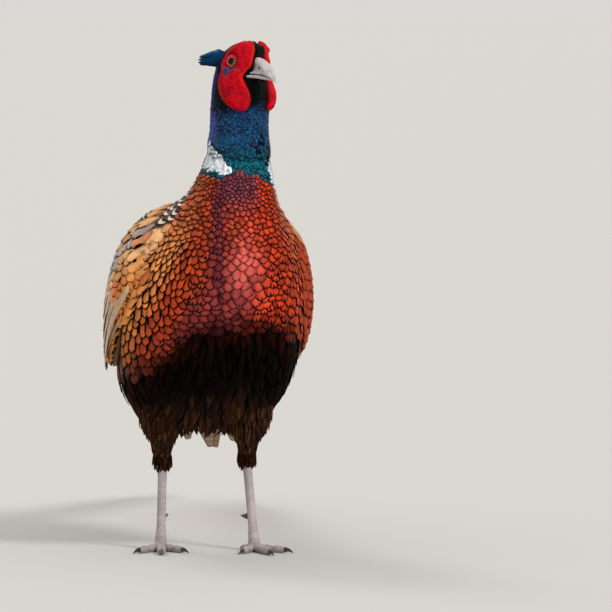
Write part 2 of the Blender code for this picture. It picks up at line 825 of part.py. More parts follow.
def claw_piece(leg, toe, sign):
    """A curved claw that starts just past the toe's end and comes down to the floor."""
    end, way = toe_places(leg, toe, sign)[-1], toe_way(leg, toe, sign)
    base = toe.radius * 0.62
    places, sizes = [], []
    for t in (0, 0.3, 0.6, 0.85, 1):
        drop = (end[2] + 0.3 - 0.75) * t ** 2
        places.append(end + way * (GAP + toe.claw * t) + np.array([0, 0, 0.3 - drop + 0.9 * t * (1 - t)]))
        sizes.append((base * (1 - 0.8 * t), base * (1 - 0.8 * t) * 0.8))
    return tube(places, sizes, 6, across=(0, 0, 1))


def foot_pieces(leg, sign):
    foot = np.array(leg.foot, float)
    hub = tube([(foot[0], foot[1], z) for z in (-2.0, 2.0, 5.0, foot[2] - GAP)],
               [(5.4, 5.6), (6.2, 6.4), (5.8, 6.2), (4.9, 5.4)], 12)
    return [hub] + [toe_piece(leg, toe, sign) for toe in TOES.values()]


FLOOR = slab((-200, -200, -40), (200, 200, 0.0))


# The whole bird

def build_trunk_and_neck():
    build("torso", "trunk", [trunk_piece(TAIL_ROOT, NECK_ROOT)])
    build("neck", "neck", [loft(neck_rings())])


def build_head():
    head = head_core()
    upper, lower = bill_half(UPPER_BILL, True), bill_half(LOWER_BILL, False)
    eyes = {s: ball(eye_centre(s), (EYE_RADIUS,) * 3, eye_frame(s), 8, 12) for s in SIDES.values()}
    lids = {sign: eyelids(sign) for sign in SIDES.values()}
    room = [swollen(p, SINK) for p in (upper, lower, *eyes.values())]
    build("head", "head", [head] + [lid for lid, opening in lids.values()],
          room + [opening for lid, opening in lids.values()])
    build("bill_upper", "bill", [upper, nostril_cover(1), nostril_cover(-1)],
          [nostril(1), nostril(-1), swollen(lower, GAP)])
    build("bill_lower", "bill", [lower])
    cover_room = [swollen(nostril_cover(s), SINK) for s in SIDES.values()]
    for side, sign in SIDES.items():
        build(f"eye_{side}", "eye", [eyes[sign]])
        clear = [swollen(head, SINK), swollen(upper, SINK), swollen(lower, SINK), *cover_room,
                 ball(eye_centre(sign), (LID_RADIUS + SINK,) * 2 + (18,), eye_frame(sign), 8, 14)]
        skin = face_skin(sign)
        build(f"wattle_{side}", "wattle", [skin], clear, "MANIFOLD")
        tuft_room = [swollen(head, SINK), swollen(skin, SINK)]
        build(f"ear_tuft_{side}", "tuft", tuft_pieces(sign), tuft_room, "MANIFOLD")


def build_wings_and_tail():
    trunk_room = swollen(trunk_piece(0, NECK_ROOT), SINK)
    for side, sign in SIDES.items():
        build(f"wing_{side}", "wing", wing_pieces(sign), [trunk_room], "MANIFOLD")
    build("tail", "tail", tail_pieces(), (), "MANIFOLD")


def build_legs():
    trunk_room = swollen(trunk_piece(TAIL_ROOT, NECK_ROOT), SINK)
    for side, sign in SIDES.items():
        leg = LEGS[side]
        thigh, shank, foot = thigh_piece(leg), shank_piece(leg), foot_pieces(leg, sign)
        build(f"thigh_{side}", "thigh", [thigh], [trunk_room])
        build(f"shank_{side}", "shank", [shank], [swollen(piece, SINK) for piece in [thigh] + foot])
        build(f"spur_{side}", "claw", [spur_piece(leg, sign)], [swollen(shank, SINK)])
        build(f"foot_{side}", "shank", foot, [FLOOR])
        for name, toe in TOES.items():
            build(f"claw_{name}_{side}", "claw", [claw_piece(leg, toe, sign)])


def set_origin():
    """Moves every piece so that the origin is the bottom centre of the whole bird's box."""
    pieces = [o for o in bpy.context.scene.objects if o.type == "MESH"]
    places = np.vstack([[tuple(v.co) for v in o.data.vertices] for o in pieces])
    low, high = places.min(0), places.max(0)
    away = ((low[0] + high[0]) / 2, (low[1] + high[1]) / 2, low[2])
    for o in pieces:
        for v in o.data.vertices:
            v.co = (v.co[0] - away[0], v.co[1] - away[1], v.co[2] - away[2])


def main():
    for old in list(bpy.data.objects):
        bpy.data.objects.remove(old)
    build_trunk_and_neck()
    build_head()
    build_wings_and_tail()
    build_legs()
    set_origin()


main()
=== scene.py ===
"""A cock pheasant standing alert: the plumage, bare skin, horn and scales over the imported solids.

Shapes are worked out in millimetres in the frame that the solids were drawn in. The floor is z = 0 between
the feet, the bird faces -Y and its own left side is +X. to_row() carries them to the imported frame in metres.
"""

import math
from types import SimpleNamespace
from typing import NamedTuple

import bpy
import numpy as np
from bpy.props import FloatProperty, FloatVectorProperty, IntProperty, PointerProperty
from bpy.types import Operator, Panel, PropertyGroup
from mathutils import Matrix, Vector
from mathutils.bvhtree import BVHTree
from mathutils.kdtree import KDTree


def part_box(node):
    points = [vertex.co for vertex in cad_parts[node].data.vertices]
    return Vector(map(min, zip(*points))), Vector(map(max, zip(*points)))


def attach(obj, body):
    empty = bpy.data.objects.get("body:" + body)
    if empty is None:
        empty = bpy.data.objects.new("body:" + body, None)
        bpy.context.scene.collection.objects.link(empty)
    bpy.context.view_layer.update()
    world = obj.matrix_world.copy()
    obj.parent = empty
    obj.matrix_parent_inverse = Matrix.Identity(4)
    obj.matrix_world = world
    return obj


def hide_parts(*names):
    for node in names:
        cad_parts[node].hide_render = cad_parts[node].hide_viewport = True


bl_info = {
    "name": "Cock pheasant plumage",
    "version": (1, 0, 0),
    "blender": (4, 5, 0),
    "location": "View3D > Sidebar > Pheasant",
    "description": "Dresses the solids of a standing cock pheasant with feathers, skin, horn and scales",
    "category": "Add Mesh",
}

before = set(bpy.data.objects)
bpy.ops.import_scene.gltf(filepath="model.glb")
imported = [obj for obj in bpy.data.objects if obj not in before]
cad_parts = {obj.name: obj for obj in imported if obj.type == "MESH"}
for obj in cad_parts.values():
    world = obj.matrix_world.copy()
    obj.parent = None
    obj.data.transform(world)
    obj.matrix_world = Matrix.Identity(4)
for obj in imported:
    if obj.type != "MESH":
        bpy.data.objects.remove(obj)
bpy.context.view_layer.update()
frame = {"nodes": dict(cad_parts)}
MM = 0.001
SIDES = {"left": 1, "right": -1}

# Sizes shared with the solids

STATIONS = np.array([      # back y and z, belly y and z, half width, shift to the left, drop of the width
    (222, 174, 214, 148, 31, 22, 0),
    (178, 190, 170, 156, 30, 13, 0),
    (137, 206, 130, 163, 32, 5, 0),
    (108, 228, 100, 138, 48, 2, 0.05),
    (72, 247, 64, 116, 64, 0.5, 0.08),
    (36, 263, 22, 105, 75.5, -1.5, 0.10),
    (4, 278, -26, 112, 80, -3.5, 0.08),
    (-20, 291, -70, 142, 79.5, -3.5, 0.05),
    (-36, 303, -101, 186, 71, 0, 0),
    (-46, 313, -118, 232, 55.5, 5.5, 0),
    (-53, 323, -121, 268, 41, 8.5, 0),
    (-58, 337, -115, 302, 32.5, 11.3, 0),
    (-60, 352, -110, 330, 27.6, 13.4, 0),
    (-60.5, 366, -108, 352, 26.6, 14, 0),
    (-60.5, 380, -107, 371, 25, 13.5, 0),
])
UPPER_POWER = 2.45
LOWER_POWER = 2.5
NECK_TOP = 14

HEAD_CENTRE = np.array((19.6, -92.0, 421.0))
HEAD_TURN = 22.0
HEAD_LIFT = 4.0
VOXEL = 1.7                # of the grid that joins skins, and of the one for bill and feet
FINE_VOXEL = 0.42
HEAD_RINGS = np.array([    # height, front and back reach, half width
    (-34, 16.5, -42, 23.2),
    (-25, 17, -42, 20.8),
    (-16, 17.5, -41, 19),
    (-7, 18, -39.5, 17.3),
    (2, 18, -35, 16),
    (9, 16.5, -29, 14.5),
    (14, 13, -22.5, 12),
    (17.6, 9, -15, 8),
    (19.2, 3.5, -8, 3.5),
])
NAPE_FULLNESS = 0.42
CROWN_LEAN = 0.16          # how far the crown leans to the left as it rises
BILL_LEAN = 0.06
SOLID_EYE = (-2.0, 11.8, 2.4)
EYE_PLACE = (-0.6, 11.0, 2.4)
EYE_RADIUS = 6.4
LID_RADIUS = 7.9
LID_OPENING = (3.6, 3.5)
TUFT_ROOT = (-21, 13.5, 6.5)

UPPER_BILL = np.array([    # how far forward, top, bottom, half width
    (12, 5, -9, 11.8),
    (15, 4.9, -9.2, 10.6),
    (18, 4.6, -9.5, 9.2),
    (22, 3.2, -10.2, 7.5),
    (27, 0.2, -10.9, 5.9),
    (32, -4.6, -12.2, 4.6),
    (36, -10, -14.2, 3.2),
    (38.8, -15, -17, 1.8),
    (40.2, -18.2, -19, 0.7),
])
LOWER_BILL = np.array([
    (12, -9.6, -12.6, 9.8),
    (18, -9.9, -13.2, 7.4),
    (24, -10.8, -14.2, 5.4),
    (30, -12.1, -15.2, 3.6),
    (34.2, -13.9, -15.9, 2.1),
    (35.8, -15.0, -16.1, 0.9),
])
FACE_RINGS = np.array([    # height, turns of the front and back edge, how far the skin stands out
    (-39.5, 42, 62, 2.0),
    (-36.5, 33, 76, 3.6),
    (-31, 29, 91, 4.4),
    (-25, 33, 100, 4.6),
    (-18, 43, 106, 4.8),
    (-12, 52, 107, 4.4),
    (-7, 45, 107, 3.0),
    (-2, 29, 108, 3.2),
    (3, 25, 109, 3.6),
    (7, 22, 106, 4.2),
    (11, 17, 101, 5.2),
    (14.5, 18, 92, 4.4),
    (16.8, 30, 74, 2.4),
])
FACE_SKEW = (              # height, and how much further round the front edge lies on the left
    (-39.5, 2), (-36.5, 12), (-31, 30), (-25, 38), (-18, 34), (-12, 22), (-7, 20), (0, 28), (7, 40),
    (12, 47), (17, 40),
)

WING_PAD = np.array([      # station, lowest and highest angle, thickness
    (3.2, 92, 140, 1.6),
    (3.8, 85, 150, 2.2),
    (4.5, 80, 156, 3.0),
    (5.2, 78, 160, 4.3),
    (5.9, 78, 163, 5.9),
    (6.6, 79, 164, 7.6),
    (7.3, 82, 165, 9.0),
    (8.0, 90, 160, 6.0),
    (8.5, 104, 150, 2.0),
])

TAIL_TURN = 12.0
TAIL_DROOP = 16.0
TAIL_ROOF = 0.16
TAIL_TOP = 3.4
TAIL_CORE = np.array([(0, 30, 21, 0), (18, 26, 17, 1), (34, 21, 12, 0.5), (48, 15, 7, -1), (58, 9, 3.5, -2)])
RECTRIX_LENGTHS = (470, 425, 365, 310, 262, 222, 188, 160, 138)
RECTRIX_HALF_WIDTHS = (16.5, 15.5, 14.5, 13.5, 13, 12.5, 12, 11.5, 11)


class Leg(NamedTuple):
    """Places of one leg, and how its toes turn."""

    hip: np.ndarray
    knee: np.ndarray
    hock: np.ndarray
    foot: np.ndarray
    turn: float


LEGS = {
    "right": Leg(*np.array([(-42, -8, 152), (-40, -2, 122), (-34, 30, 75), (-37, 21, 9.0)]), -6),
    "left": Leg(*np.array([(33, -16, 152), (34, -10, 122), (38, 20, 77), (41.5, 3, 9.0)]), 6),
}
THIGH_SIZES = ((26, 33), (22, 27), (14.5, 18), (9.8, 11.5), (7, 7.8))
TOES = {                   # angle outwards, length, radius, claw
    "inner": (-34, 31, 3.3, 8.5),
    "middle": (2, 45, 3.6, 10),
    "outer": (36, 34, 3.3, 8.5),
    "hind": (197, 15, 2.8, 7),
}


# Settings

def paint(code):
    """A hexadecimal sRGB colour as linear red, green and blue."""
    parts = [int(code[k:k + 2], 16) / 255 for k in (0, 2, 4)]
    return tuple(c / 12.92 if c <= 0.04045 else ((c + 0.055) / 1.055) ** 2.4 for c in parts)


def colour(name, description, code):
    return FloatVectorProperty(name=name, description=description, subtype="COLOR", size=3, min=0, max=1,
                               default=paint(code))


def number(name, description, default, **limits):
    return FloatProperty(name=name, description=description, default=default, **limits)


class PlumageColours(PropertyGroup):
    """The colours of the feathers."""

    crown: colour("Crown", "Bronze green of the crown", "28443e")
    throat: colour("Throat", "Black with a green gloss on throat and forehead", "0a1210")
    nape: colour("Nape", "Violet of the nape and the upper neck", "4a55b8")
    neck_blue: colour("Neck blue", "Blue of the middle of the neck", "245582")
    neck_green: colour("Neck green", "Teal green above the collar", "135a6b")
    neck_brown: colour("Neck brown", "Dark brown flecks on the neck", "341a14")
    collar: colour("Collar", "White neck ring", "eef5ff")
    maroon: colour("Maroon", "Maroon down the midline and above the belly", "602838")
    mauve: colour("Mauve", "Mauve of the feathers under the collar", "744050")
    copper: colour("Copper", "Copper red of the breast", "c04820")
    scarlet: colour("Scarlet", "Fiery side of the breast", "cc3a10")
    rose: colour("Rose", "Pink sheen on the middle of the breast", "d86058")
    orange: colour("Orange", "Orange of the flanks", "f69e55")
    buff: colour("Buff", "Buff of the scapulars and the coverts", "f0b984")
    belly: colour("Belly", "Black brown of the belly", "0a0605")
    thigh: colour("Thigh", "Dark brown of the thighs", "392216")
    streak: colour("Streak", "Pale brown streaks on belly and thighs", "6e4424")
    rump: colour("Rump", "Grey green of the lower back", "6a6e52")
    ink: colour("Ink", "Black of the feather edges and spots", "0b0608")
    slate: colour("Slate", "Blue grey on the wing coverts", "aeb2b6")
    tail: colour("Tail", "Olive buff of the tail", "957848")
    fringe: colour("Fringe", "Rufous edge of the tail feathers", "8a4630")


class BareColours(PropertyGroup):
    """The colours of skin, eye, horn and scales."""

    face: colour("Face", "Scarlet of the bare face", "cc0418")
    # Besides crimson mottling, this colour is painted shade in the folds between the papillae.
    face_crimson_and_fold_shade: colour("Face folds", "Crimson in the folds of the face", "8a0416")
    face_blue: colour("Face patch", "Blue grey patch under the eye", "3e4a6c")
    lid: colour("Lid", "Pale skin of the lids", "a8807a")
    iris: colour("Iris", "Amber of the iris", "94480c")
    horn: colour("Bill", "Ivory of the bill", "b9b7bb")
    horn_rose: colour("Bill flush", "Dusky pink on the bill", "94787c")
    leg: colour("Leg", "Pinkish grey of shank and toes", "9e9698")
    claw: colour("Claw", "Dark horn of the claws", "3a302a")


class CoatSettings(PropertyGroup):
    """How the feathers are laid."""

    body_depth: number("Body coat", "Depth of the coat on the body", 4.0)
    neck_depth: number("Neck coat", "Depth of the coat on the neck", 2.4)
    head_depth: number("Head coat", "Depth of the coat on the head", 1.1)
    seed: IntProperty(name="Seed", description="Start of every random draw", default=7)


class StageSettings(PropertyGroup):
    """Camera, lights and floor."""

    azimuth: number("Azimuth", "Degrees round the bird", -10.0)
    elevation: number("Elevation", "Degrees above the floor", 3.0)
    distance: number("Distance", "From the bird, in millimetres", 6000.0)
    lens: number("Lens", "Focal length", 410.4, unit="CAMERA")
    aim_right: number("Aim right", "Of the feet, in millimetres", 85.1)
    aim_up: number("Aim up", "Above the floor, in millimetres", 211.6)
    floor: colour("Floor", "Pale floor", "c9c7c4")
    sky: colour("Sky", "Soft light all round", "f0efec")
    sky_strength: number("Sky strength", "Brightness of the soft light", 0.8, min=0)
    key_strength: number("Key strength", "Brightness of the main light", 1.9, min=0)
    rim_strength: number("Rim strength", "Brightness of the back light", 0.6, min=0)


def plumage_colours():
    """The colours of the feathers as arrays."""
    plumage, names = bpy.context.scene.plumage, PlumageColours.__annotations__
    return SimpleNamespace(**{name: np.array(getattr(plumage, name)) for name in names})


# Plain maths on arrays

def norm(v):
    return np.sqrt((v * v).sum(-1))


def unit(v):
    v = np.asarray(v, float)
    return v / np.maximum(norm(v), 1e-9)[..., None]


def dot(a, b):
    return (a * b).sum(-1)


def smooth(x, low, high):
    """0 below low, 1 above high, and an even curve between them."""
    t = np.clip((np.asarray(x, float) - low) / (high - low), 0, 1)
    return t * t * (3 - 2 * t)


def falling(x, low, high):
    """1 below low, 0 above high, and an even curve between them."""
    return 1 - smooth(x, low, high)


def bell(*terms):
    """1 where each value lies at its middle, and less away from it. A term is a value, middle and width."""
    return np.exp(-sum(((value - middle) / width) ** 2 for value, middle, width in terms))


def turns_of(count, whole=2 * np.pi):
    return np.linspace(0, whole, count, endpoint=False)


def mixed(a, b, share):
    share = np.asarray(share, float)[..., None]
    return a * (1 - share) + b * share


def tree_of(points):
    """A tree that finds the nearest of these points."""
    tree = KDTree(len(points))
    for place, point in enumerate(points):
        tree.insert(point, place)
    tree.balance()
    return tree


def spin_about(axis, degrees):
    return np.array(Matrix.Rotation(math.radians(degrees), 3, Vector(axis)))


def through(values, at):
    """A smooth curve through evenly spaced values, read at fractional indices."""
    values, at = np.asarray(values, float), np.asarray(at, float)
    last = len(values) - 1
    i = np.clip(np.floor(at).astype(int), 0, last - 1)
    t = (at - i)[..., None]
    a, b = values[i], values[i + 1]
    before = np.where((i > 0)[..., None], values[np.maximum(i - 1, 0)], 2 * a - b)
    after = np.where((i + 2 <= last)[..., None], values[np.minimum(i + 2, last)], 2 * b - a)
    square, cube = 2 * before - 5 * a + 4 * b - after, 3 * (a - b) + after - before
    return a + 0.5 * t * (b - before + t * (square + t * cube))


def columns_at(table, at):
    """The columns of a table after its first, read at values of its first."""
    return [np.interp(at, table[:, 0], table[:, k]) for k in range(1, table.shape[1])]


# The surfaces of the solids

def head_frame():
    """Rows: forward, left, up."""
    level = spin_about((0, 0, 1), HEAD_TURN) @ np.array([0, -1, 0])
    left = np.cross((0, 0, 1), level)
    forward = spin_about(left, -HEAD_LIFT) @ level
    return np.array([forward, left, np.cross(forward, left)])


HEAD = head_frame()
FORWARD, LEFTWARD, CROWNWARD = HEAD


def on_head(forward, left, up):
    return HEAD_CENTRE + np.stack(np.broadcast_arrays(forward, left, up), -1) @ HEAD


def eye_centre(sign):
    return on_head(EYE_PLACE[0], sign * EYE_PLACE[1], EYE_PLACE[2])


def eye_frame(sign):
    """Rows: two ways across the eye, then the way that it looks."""
    look = unit(LEFTWARD * sign + FORWARD * 0.42 + CROWNWARD * 0.04)
    across = unit(FORWARD - look * np.dot(FORWARD, look))
    return np.array([across, np.cross(look, across), look])


AWAY = on_head(*SOLID_EYE) - np.mean([np.array(c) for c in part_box("eye_left")], axis=0) / MM


def to_row(points):
    """From millimetres in the drawing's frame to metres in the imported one."""
    return (np.asarray(points) - AWAY) * MM


def trunk_point(station, angle, lift):
    """A point of the trunk or neck. The angle is 0 on the breast, 90 on the left and 180 on the back."""
    back_y, back_z, belly_y, belly_z, half_width, shift, low = np.moveaxis(through(STATIONS, station), -1, 0)
    middle = np.stack([shift, (back_y + belly_y) / 2, (back_z + belly_z) / 2], -1)
    deep = np.stack([np.zeros_like(shift), (back_y - belly_y) / 2, (back_z - belly_z) / 2], -1)
    depth = norm(deep)
    upwards = deep / depth[..., None]
    out, up = np.sin(np.radians(angle)), -np.cos(np.radians(angle))
    power = np.where(up > 0, 2 / UPPER_POWER, 2 / LOWER_POWER)
    side = np.sign(out) * np.abs(out) ** power * half_width
    rise = np.sign(up) * np.abs(up) ** power * np.where(up > 0, 1 + low, 1 - low) - low
    point = middle + upwards * (rise * depth)[..., None]
    point[..., 0] += side
    away = upwards * (up * half_width)[..., None]
    away[..., 0] += out * depth
    return point + unit(away) * np.asarray(lift)[..., None]


def head_point(up, turn, lift):
    """A point of the head. The turn is 0 straight ahead and 90 on the left."""
    front, back, half_width = columns_at(HEAD_RINGS, up)
    ahead, out = np.cos(np.radians(turn)), np.sin(np.radians(turn))
    reach = np.where(ahead > 0, front, -back)
    away = unit(np.stack([half_width * ahead, reach * out], -1)) * np.asarray(lift)[..., None]
    crown = np.maximum(0, up - 6) / 13
    fall = 1 - 0.6 * crown
    forward = reach * ahead + away[..., 0] * fall
    left = half_width * out * (1 - NAPE_FULLNESS * ahead) + away[..., 1] * fall
    return on_head(forward, left + CROWN_LEAN * np.maximum(up - 2, 0), up + lift * crown)


def tail_frame():
    """Rows: along the tail, across it to the bird's left, and up."""
    level = spin_about((0, 0, 1), -TAIL_TURN) @ np.array([0, 1, 0])
    left = np.cross(level, (0, 0, 1))
    along = spin_about(left, -TAIL_DROOP) @ level
    return np.array([along, left, np.cross(left, along)])


TAIL = tail_frame()
TAIL_START = trunk_point(2.0, turns_of(28, 360), 0).mean(0)


def on_tail(along, left, up):
    sag = -0.00006 * np.maximum(along - 60, 0) ** 2
    return TAIL_START + np.stack(np.broadcast_arrays(along, left, up + sag), -1) @ TAIL


# Even distances round the trunk: a share is 0 on the breast line, 1 or -1 on the back line

ANGLES = np.linspace(-180, 180, 361)
BREAST_LINE = 180          # the place of angle 0 among the angles
TABLE_ROWS = 10            # for one station
TABLE_STATIONS = np.linspace(0, NECK_TOP, NECK_TOP * TABLE_ROWS + 1)


def arc_tables():
    """For each station, the half girth, the share at each angle, and the angle at each share."""
    ring = trunk_point(TABLE_STATIONS[:, None], ANGLES, 0)
    steps = norm(np.diff(ring, axis=1))
    run = np.concatenate([np.zeros((len(ring), 1)), np.cumsum(steps, 1)], 1)
    run -= run[:, BREAST_LINE:BREAST_LINE + 1]
    half = run[:, -1:]
    shares = run / half
    back = np.array([np.interp(np.linspace(-1, 1, len(ANGLES)), row, ANGLES) for row in shares])
    return half[:, 0], shares, back


HALF_GIRTH, SHARE_TABLE, ANGLE_TABLE = arc_tables()


def table_at(table, station, column):
    """A table read between its rows, which are stations, and its columns."""
    row = np.clip(np.asarray(station) * TABLE_ROWS, 0, len(table) - 1.001)
    column = np.clip(column, 0, table.shape[1] - 1.001)
    i, j = row.astype(int), column.astype(int)
    a, b = row - i, column - j
    upper = table[i, j] * (1 - b) + table[i, j + 1] * b
    lower = table[i + 1, j] * (1 - b) + table[i + 1, j + 1] * b
    return upper * (1 - a) + lower * a


def angle_of(station, share):
    return table_at(ANGLE_TABLE, station, ((share + 1) % 2) * BREAST_LINE)


def share_of(station, angle):
    return table_at(SHARE_TABLE, station, angle + BREAST_LINE)


def trunk(station, share, lift):
    return trunk_point(station, angle_of(station, share), lift)


def pad_thickness(station, angle):
    """How far the folded wing's body stands out over the trunk."""
    low, high, thick = columns_at(WING_PAD, station)
    t = (np.abs(angle) - low) / (high - low)
    inside = np.clip(np.minimum(t, 1 - t) * 8 + 0.4, 0, 1)
    ends = np.clip(np.minimum(station - 3.0, 8.7 - station) * 3, 0, 1)
    rise = 1 + (thick - 1) * np.sin(np.pi * np.clip(0.06 + 0.88 * t, 0, 1)) ** 0.3
    return rise * smooth(inside, 0, 1) * smooth(ends, 0, 1)


def wing_surface(station, share, lift):
    """The trunk with the folded wing's body over it."""
    angle = angle_of(station, share)
    return trunk_point(station, angle, lift + pad_thickness(station, angle))


# Vanes: the outlines are shares of the length and of the half width, the rings are across and up

ROUND = np.array([(0, 0.2), (0.22, 0.6), (0.48, 0.94), (0.68, 1), (0.83, 0.9), (0.93, 0.64), (0.98, 0.36),
                  (1, 0.08)])
POINTED = np.array([(0, 0.2), (0.2, 0.66), (0.42, 1), (0.62, 0.92), (0.8, 0.62), (0.92, 0.32), (1, 0.04)])
THIN_RING = np.array([(-1, 0, 1, 0), (0, 0.5, 0, -0.5)])
WIDE_RING = np.array([(-1, -0.5, 0, 0.5, 1, 0.5, 0, -0.5), (0, 0.5, 0.8, 0.5, 0, -0.5, -0.8, -0.5)])
VANE_THICKNESS = 0.3
TRUNK_STEPS = (0.02, 0.004)     # of station and share, for slopes


def derivatives(surface, a, b, step_a=TRUNK_STEPS[0], step_b=TRUNK_STEPS[1]):
    """The point, the change along both parameters, and the outward normal."""
    point = surface(a, b, 0)
    along_a = (surface(a + step_a, b, 0) - surface(a - step_a, b, 0)) / (2 * step_a)
    along_b = (surface(a, b + step_b, 0) - surface(a, b - step_b, 0)) / (2 * step_b)
    normal = unit(np.cross(along_b, along_a))
    flip = np.sign(dot(normal, surface(a, b, 1) - point))
    return point, along_a, along_b, normal * flip[..., None]


def per_mm(along_a, along_b, way):
    """The change of both parameters that moves one millimetre that way."""
    aa, ab, bb = dot(along_a, along_a), dot(along_a, along_b), dot(along_b, along_b)
    wa, wb = dot(along_a, way), dot(along_b, way)
    scale = np.maximum(aa * bb - ab * ab, 1e-9)
    return (bb * wa - ab * wb) / scale, (aa * wb - ab * wa) / scale


class Coat:
    """Many vanes gathered into one mesh, with the colours and marks of each."""

    def __init__(self):
        self.points, self.faces = [], []
        self.vane, self.bake, self.tint, self.marks = [], [], [], []
        self.count = 0

    def add(self, places, outline, roots, tint, tip_tint, marks, ring=THIN_RING, patch=(0.003, 0.003)):
        """places has the shape (vanes, rows, ring, 3). roots are the vanes' places on the unwrapped skin."""
        vanes, rows, around = places.shape[:3]
        base = (np.arange(vanes) * rows * around)[:, None, None] + self.count
        r, k = np.meshgrid(np.arange(rows - 1), np.arange(around), indexing="ij")
        a, b = r * around + k, r * around + (k + 1) % around
        quads = np.stack([a, a + around, b + around, b], -1).reshape(1, -1, 4) + base
        self.faces.append(quads.reshape(-1, 4))
        for k in range(around // 2 - 1):
            cap = np.array([k, k + 1, around - 2 - k, around - 1 - k])
            self.faces.append((cap[None] + base[:, 0]).reshape(-1, 4))
            self.faces.append((cap[None, ::-1] + (rows - 1) * around + base[:, 0]).reshape(-1, 4))
        across = np.broadcast_to(ring[0] * 0.5 + 0.5, (vanes, rows, around))
        along = np.broadcast_to(outline[:, 0][:, None], (vanes, rows, around))
        self.vane.append(np.stack([across, along], -1).reshape(-1, 2))
        spot = np.stack([across - 0.5, along], -1) * patch
        roots = np.stack(np.broadcast_arrays(*roots), -1)
        self.bake.append((spot + roots[:, None, None]).reshape(-1, 2))
        self.tint.append(mixed(tint[:, None, None], tip_tint[:, None, None], along).reshape(-1, 3))
        marks = np.stack([np.broadcast_to(mark, vanes) for mark in marks], -1)
        self.marks.append(np.broadcast_to(marks[:, None, None], (vanes, rows, around, 3)).reshape(-1, 3))
        self.points.append(places.reshape(-1, 3))
        self.count += vanes * rows * around
        return self

    def make(self, name, material, slot, *replaced):
        made = add_mesh(name, to_row(np.concatenate(self.points)), np.concatenate(self.faces))
        add_uv(made, "Vane", np.concatenate(self.vane))
        add_uv(made, "OFBake", np.clip(np.concatenate(self.bake), 0.0005, 0.9995))
        add_colour(made, "tint", np.concatenate(self.tint))
        add_colour(made, "marks", np.concatenate(self.marks))
        finish_piece(made, material, slot, *replaced)


def vane_grid(outline, ring):
    """Along and half width for each row of a vane, and across and up for each corner round it."""
    t, wide = outline.T[:, None, :, None]
    x, z = ring[:, None, None]
    return t, wide, x, z


def laid_vanes(surface, a, b, way, length, half_width, lift, camber, outline):
    """The points of vanes that follow a surface. lift is the height at root and tip."""
    _, along_a, along_b, normal = derivatives(surface, a, b)
    flat = unit(way - normal * dot(way, normal)[..., None])
    runs = per_mm(along_a, along_b, flat)
    outs = per_mm(along_a, along_b, np.cross(normal, flat))
    t, wide, x, z = vane_grid(outline, THIN_RING)
    ahead = t * length[:, None, None]
    across = wide * x * half_width[:, None, None]
    at_a, at_b = (start[:, None, None] + ahead * run[:, None, None] + across * out[:, None, None]
                  for start, run, out in zip((a, b), runs, outs))
    low, high, bow = (np.broadcast_to(v, a.shape)[:, None, None] for v in (*lift, camber))
    height = low + (high - low) * t ** 0.8 - bow * x * x * np.minimum(1, 2 * t) + VANE_THICKNESS * z
    return surface(at_a, at_b, height)


def free_vanes(root, way, normal, length, half_width, bend, camber, outline, thickness=VANE_THICKNESS):
    """The points of vanes that start at a root and bend in a plain curve."""
    way = unit(way)
    up = unit(normal - way * dot(normal, way)[..., None])
    t, wide, x, z = (v[..., None] for v in vane_grid(outline, THIN_RING))
    long, half, curve, bow = (np.broadcast_to(v, len(root))[:, None, None, None]
                              for v in (length, half_width, bend, camber))
    height = curve * long * t * t - bow * x * x + thickness * z
    root, way, side, up = (v[:, None, None] for v in (root, way, np.cross(up, way), up))
    return root + way * t * long + side * wide * half * x + up * height


# Objects

def linked(name, data):
    """A new object of this data in the scene."""
    made = bpy.data.objects.new(name, data)
    bpy.context.scene.collection.objects.link(made)
    return made


def add_mesh(name, points, faces):
    """A mesh of faces with four corners each."""
    mesh = bpy.data.meshes.new(name)
    mesh.vertices.add(len(points))
    mesh.vertices.foreach_set("co", np.ascontiguousarray(points, np.float32).ravel())
    mesh.loops.add(faces.size)
    mesh.loops.foreach_set("vertex_index", np.ascontiguousarray(faces, np.int32).ravel())
    mesh.polygons.add(len(faces))
    mesh.polygons.foreach_set("loop_start", np.arange(0, faces.size, 4, dtype=np.int32))
    mesh.update(calc_edges=True)
    mesh.validate()
    mesh.shade_smooth()
    return linked(name, mesh)


def add_uv(made, name, places):
    mesh = made.data
    corners = np.empty(len(mesh.loops), np.int32)
    mesh.loops.foreach_get("vertex_index", corners)
    layer = mesh.uv_layers.new(name=name)
    layer.data.foreach_set("uv", places[corners].astype(np.float32).ravel())


def add_colour(made, name, values):
    layer = made.data.color_attributes.new(name, "FLOAT_COLOR", "POINT")
    filled = np.ones((len(values), 4), np.float32)
    filled[:, :values.shape[1]] = values
    layer.data.foreach_set("color", filled.ravel())


def finish_piece(made, material, slot, *replaced, marks=()):
    if marks:
        add_colour(made, "marks", np.stack(marks, -1))
    made.data.materials.clear()
    made.data.materials.append(material)
    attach(made, "root")
    if replaced:
        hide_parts(*replaced)


def grid_faces(rows, columns):
    """The faces between rings of points."""
    r, k = np.meshgrid(np.arange(rows - 1), np.arange(columns), indexing="ij")
    a, b = r * columns + k, r * columns + (k + 1) % columns
    return np.stack([a, b, b + columns, a + columns], -1).reshape(-1, 4)


def capped(rings):
    """The points and faces of a closed skin through rings. Each end closes with a fan to its middle."""
    rings = np.asarray(rings, float)
    rows, columns = rings.shape[:2]
    middle = [rings[0].mean(0), rings[-1].mean(0)]
    points = np.vstack([rings.reshape(-1, 3), middle])
    faces = grid_faces(rows, columns).tolist()
    start, end, last = rows * columns, rows * columns + 1, (rows - 1) * columns
    for k in range(columns):
        beside = (k + 1) % columns
        faces.append((start, beside, k, k))
        faces.append((end, last + k, last + beside, last + beside))
    return points, faces


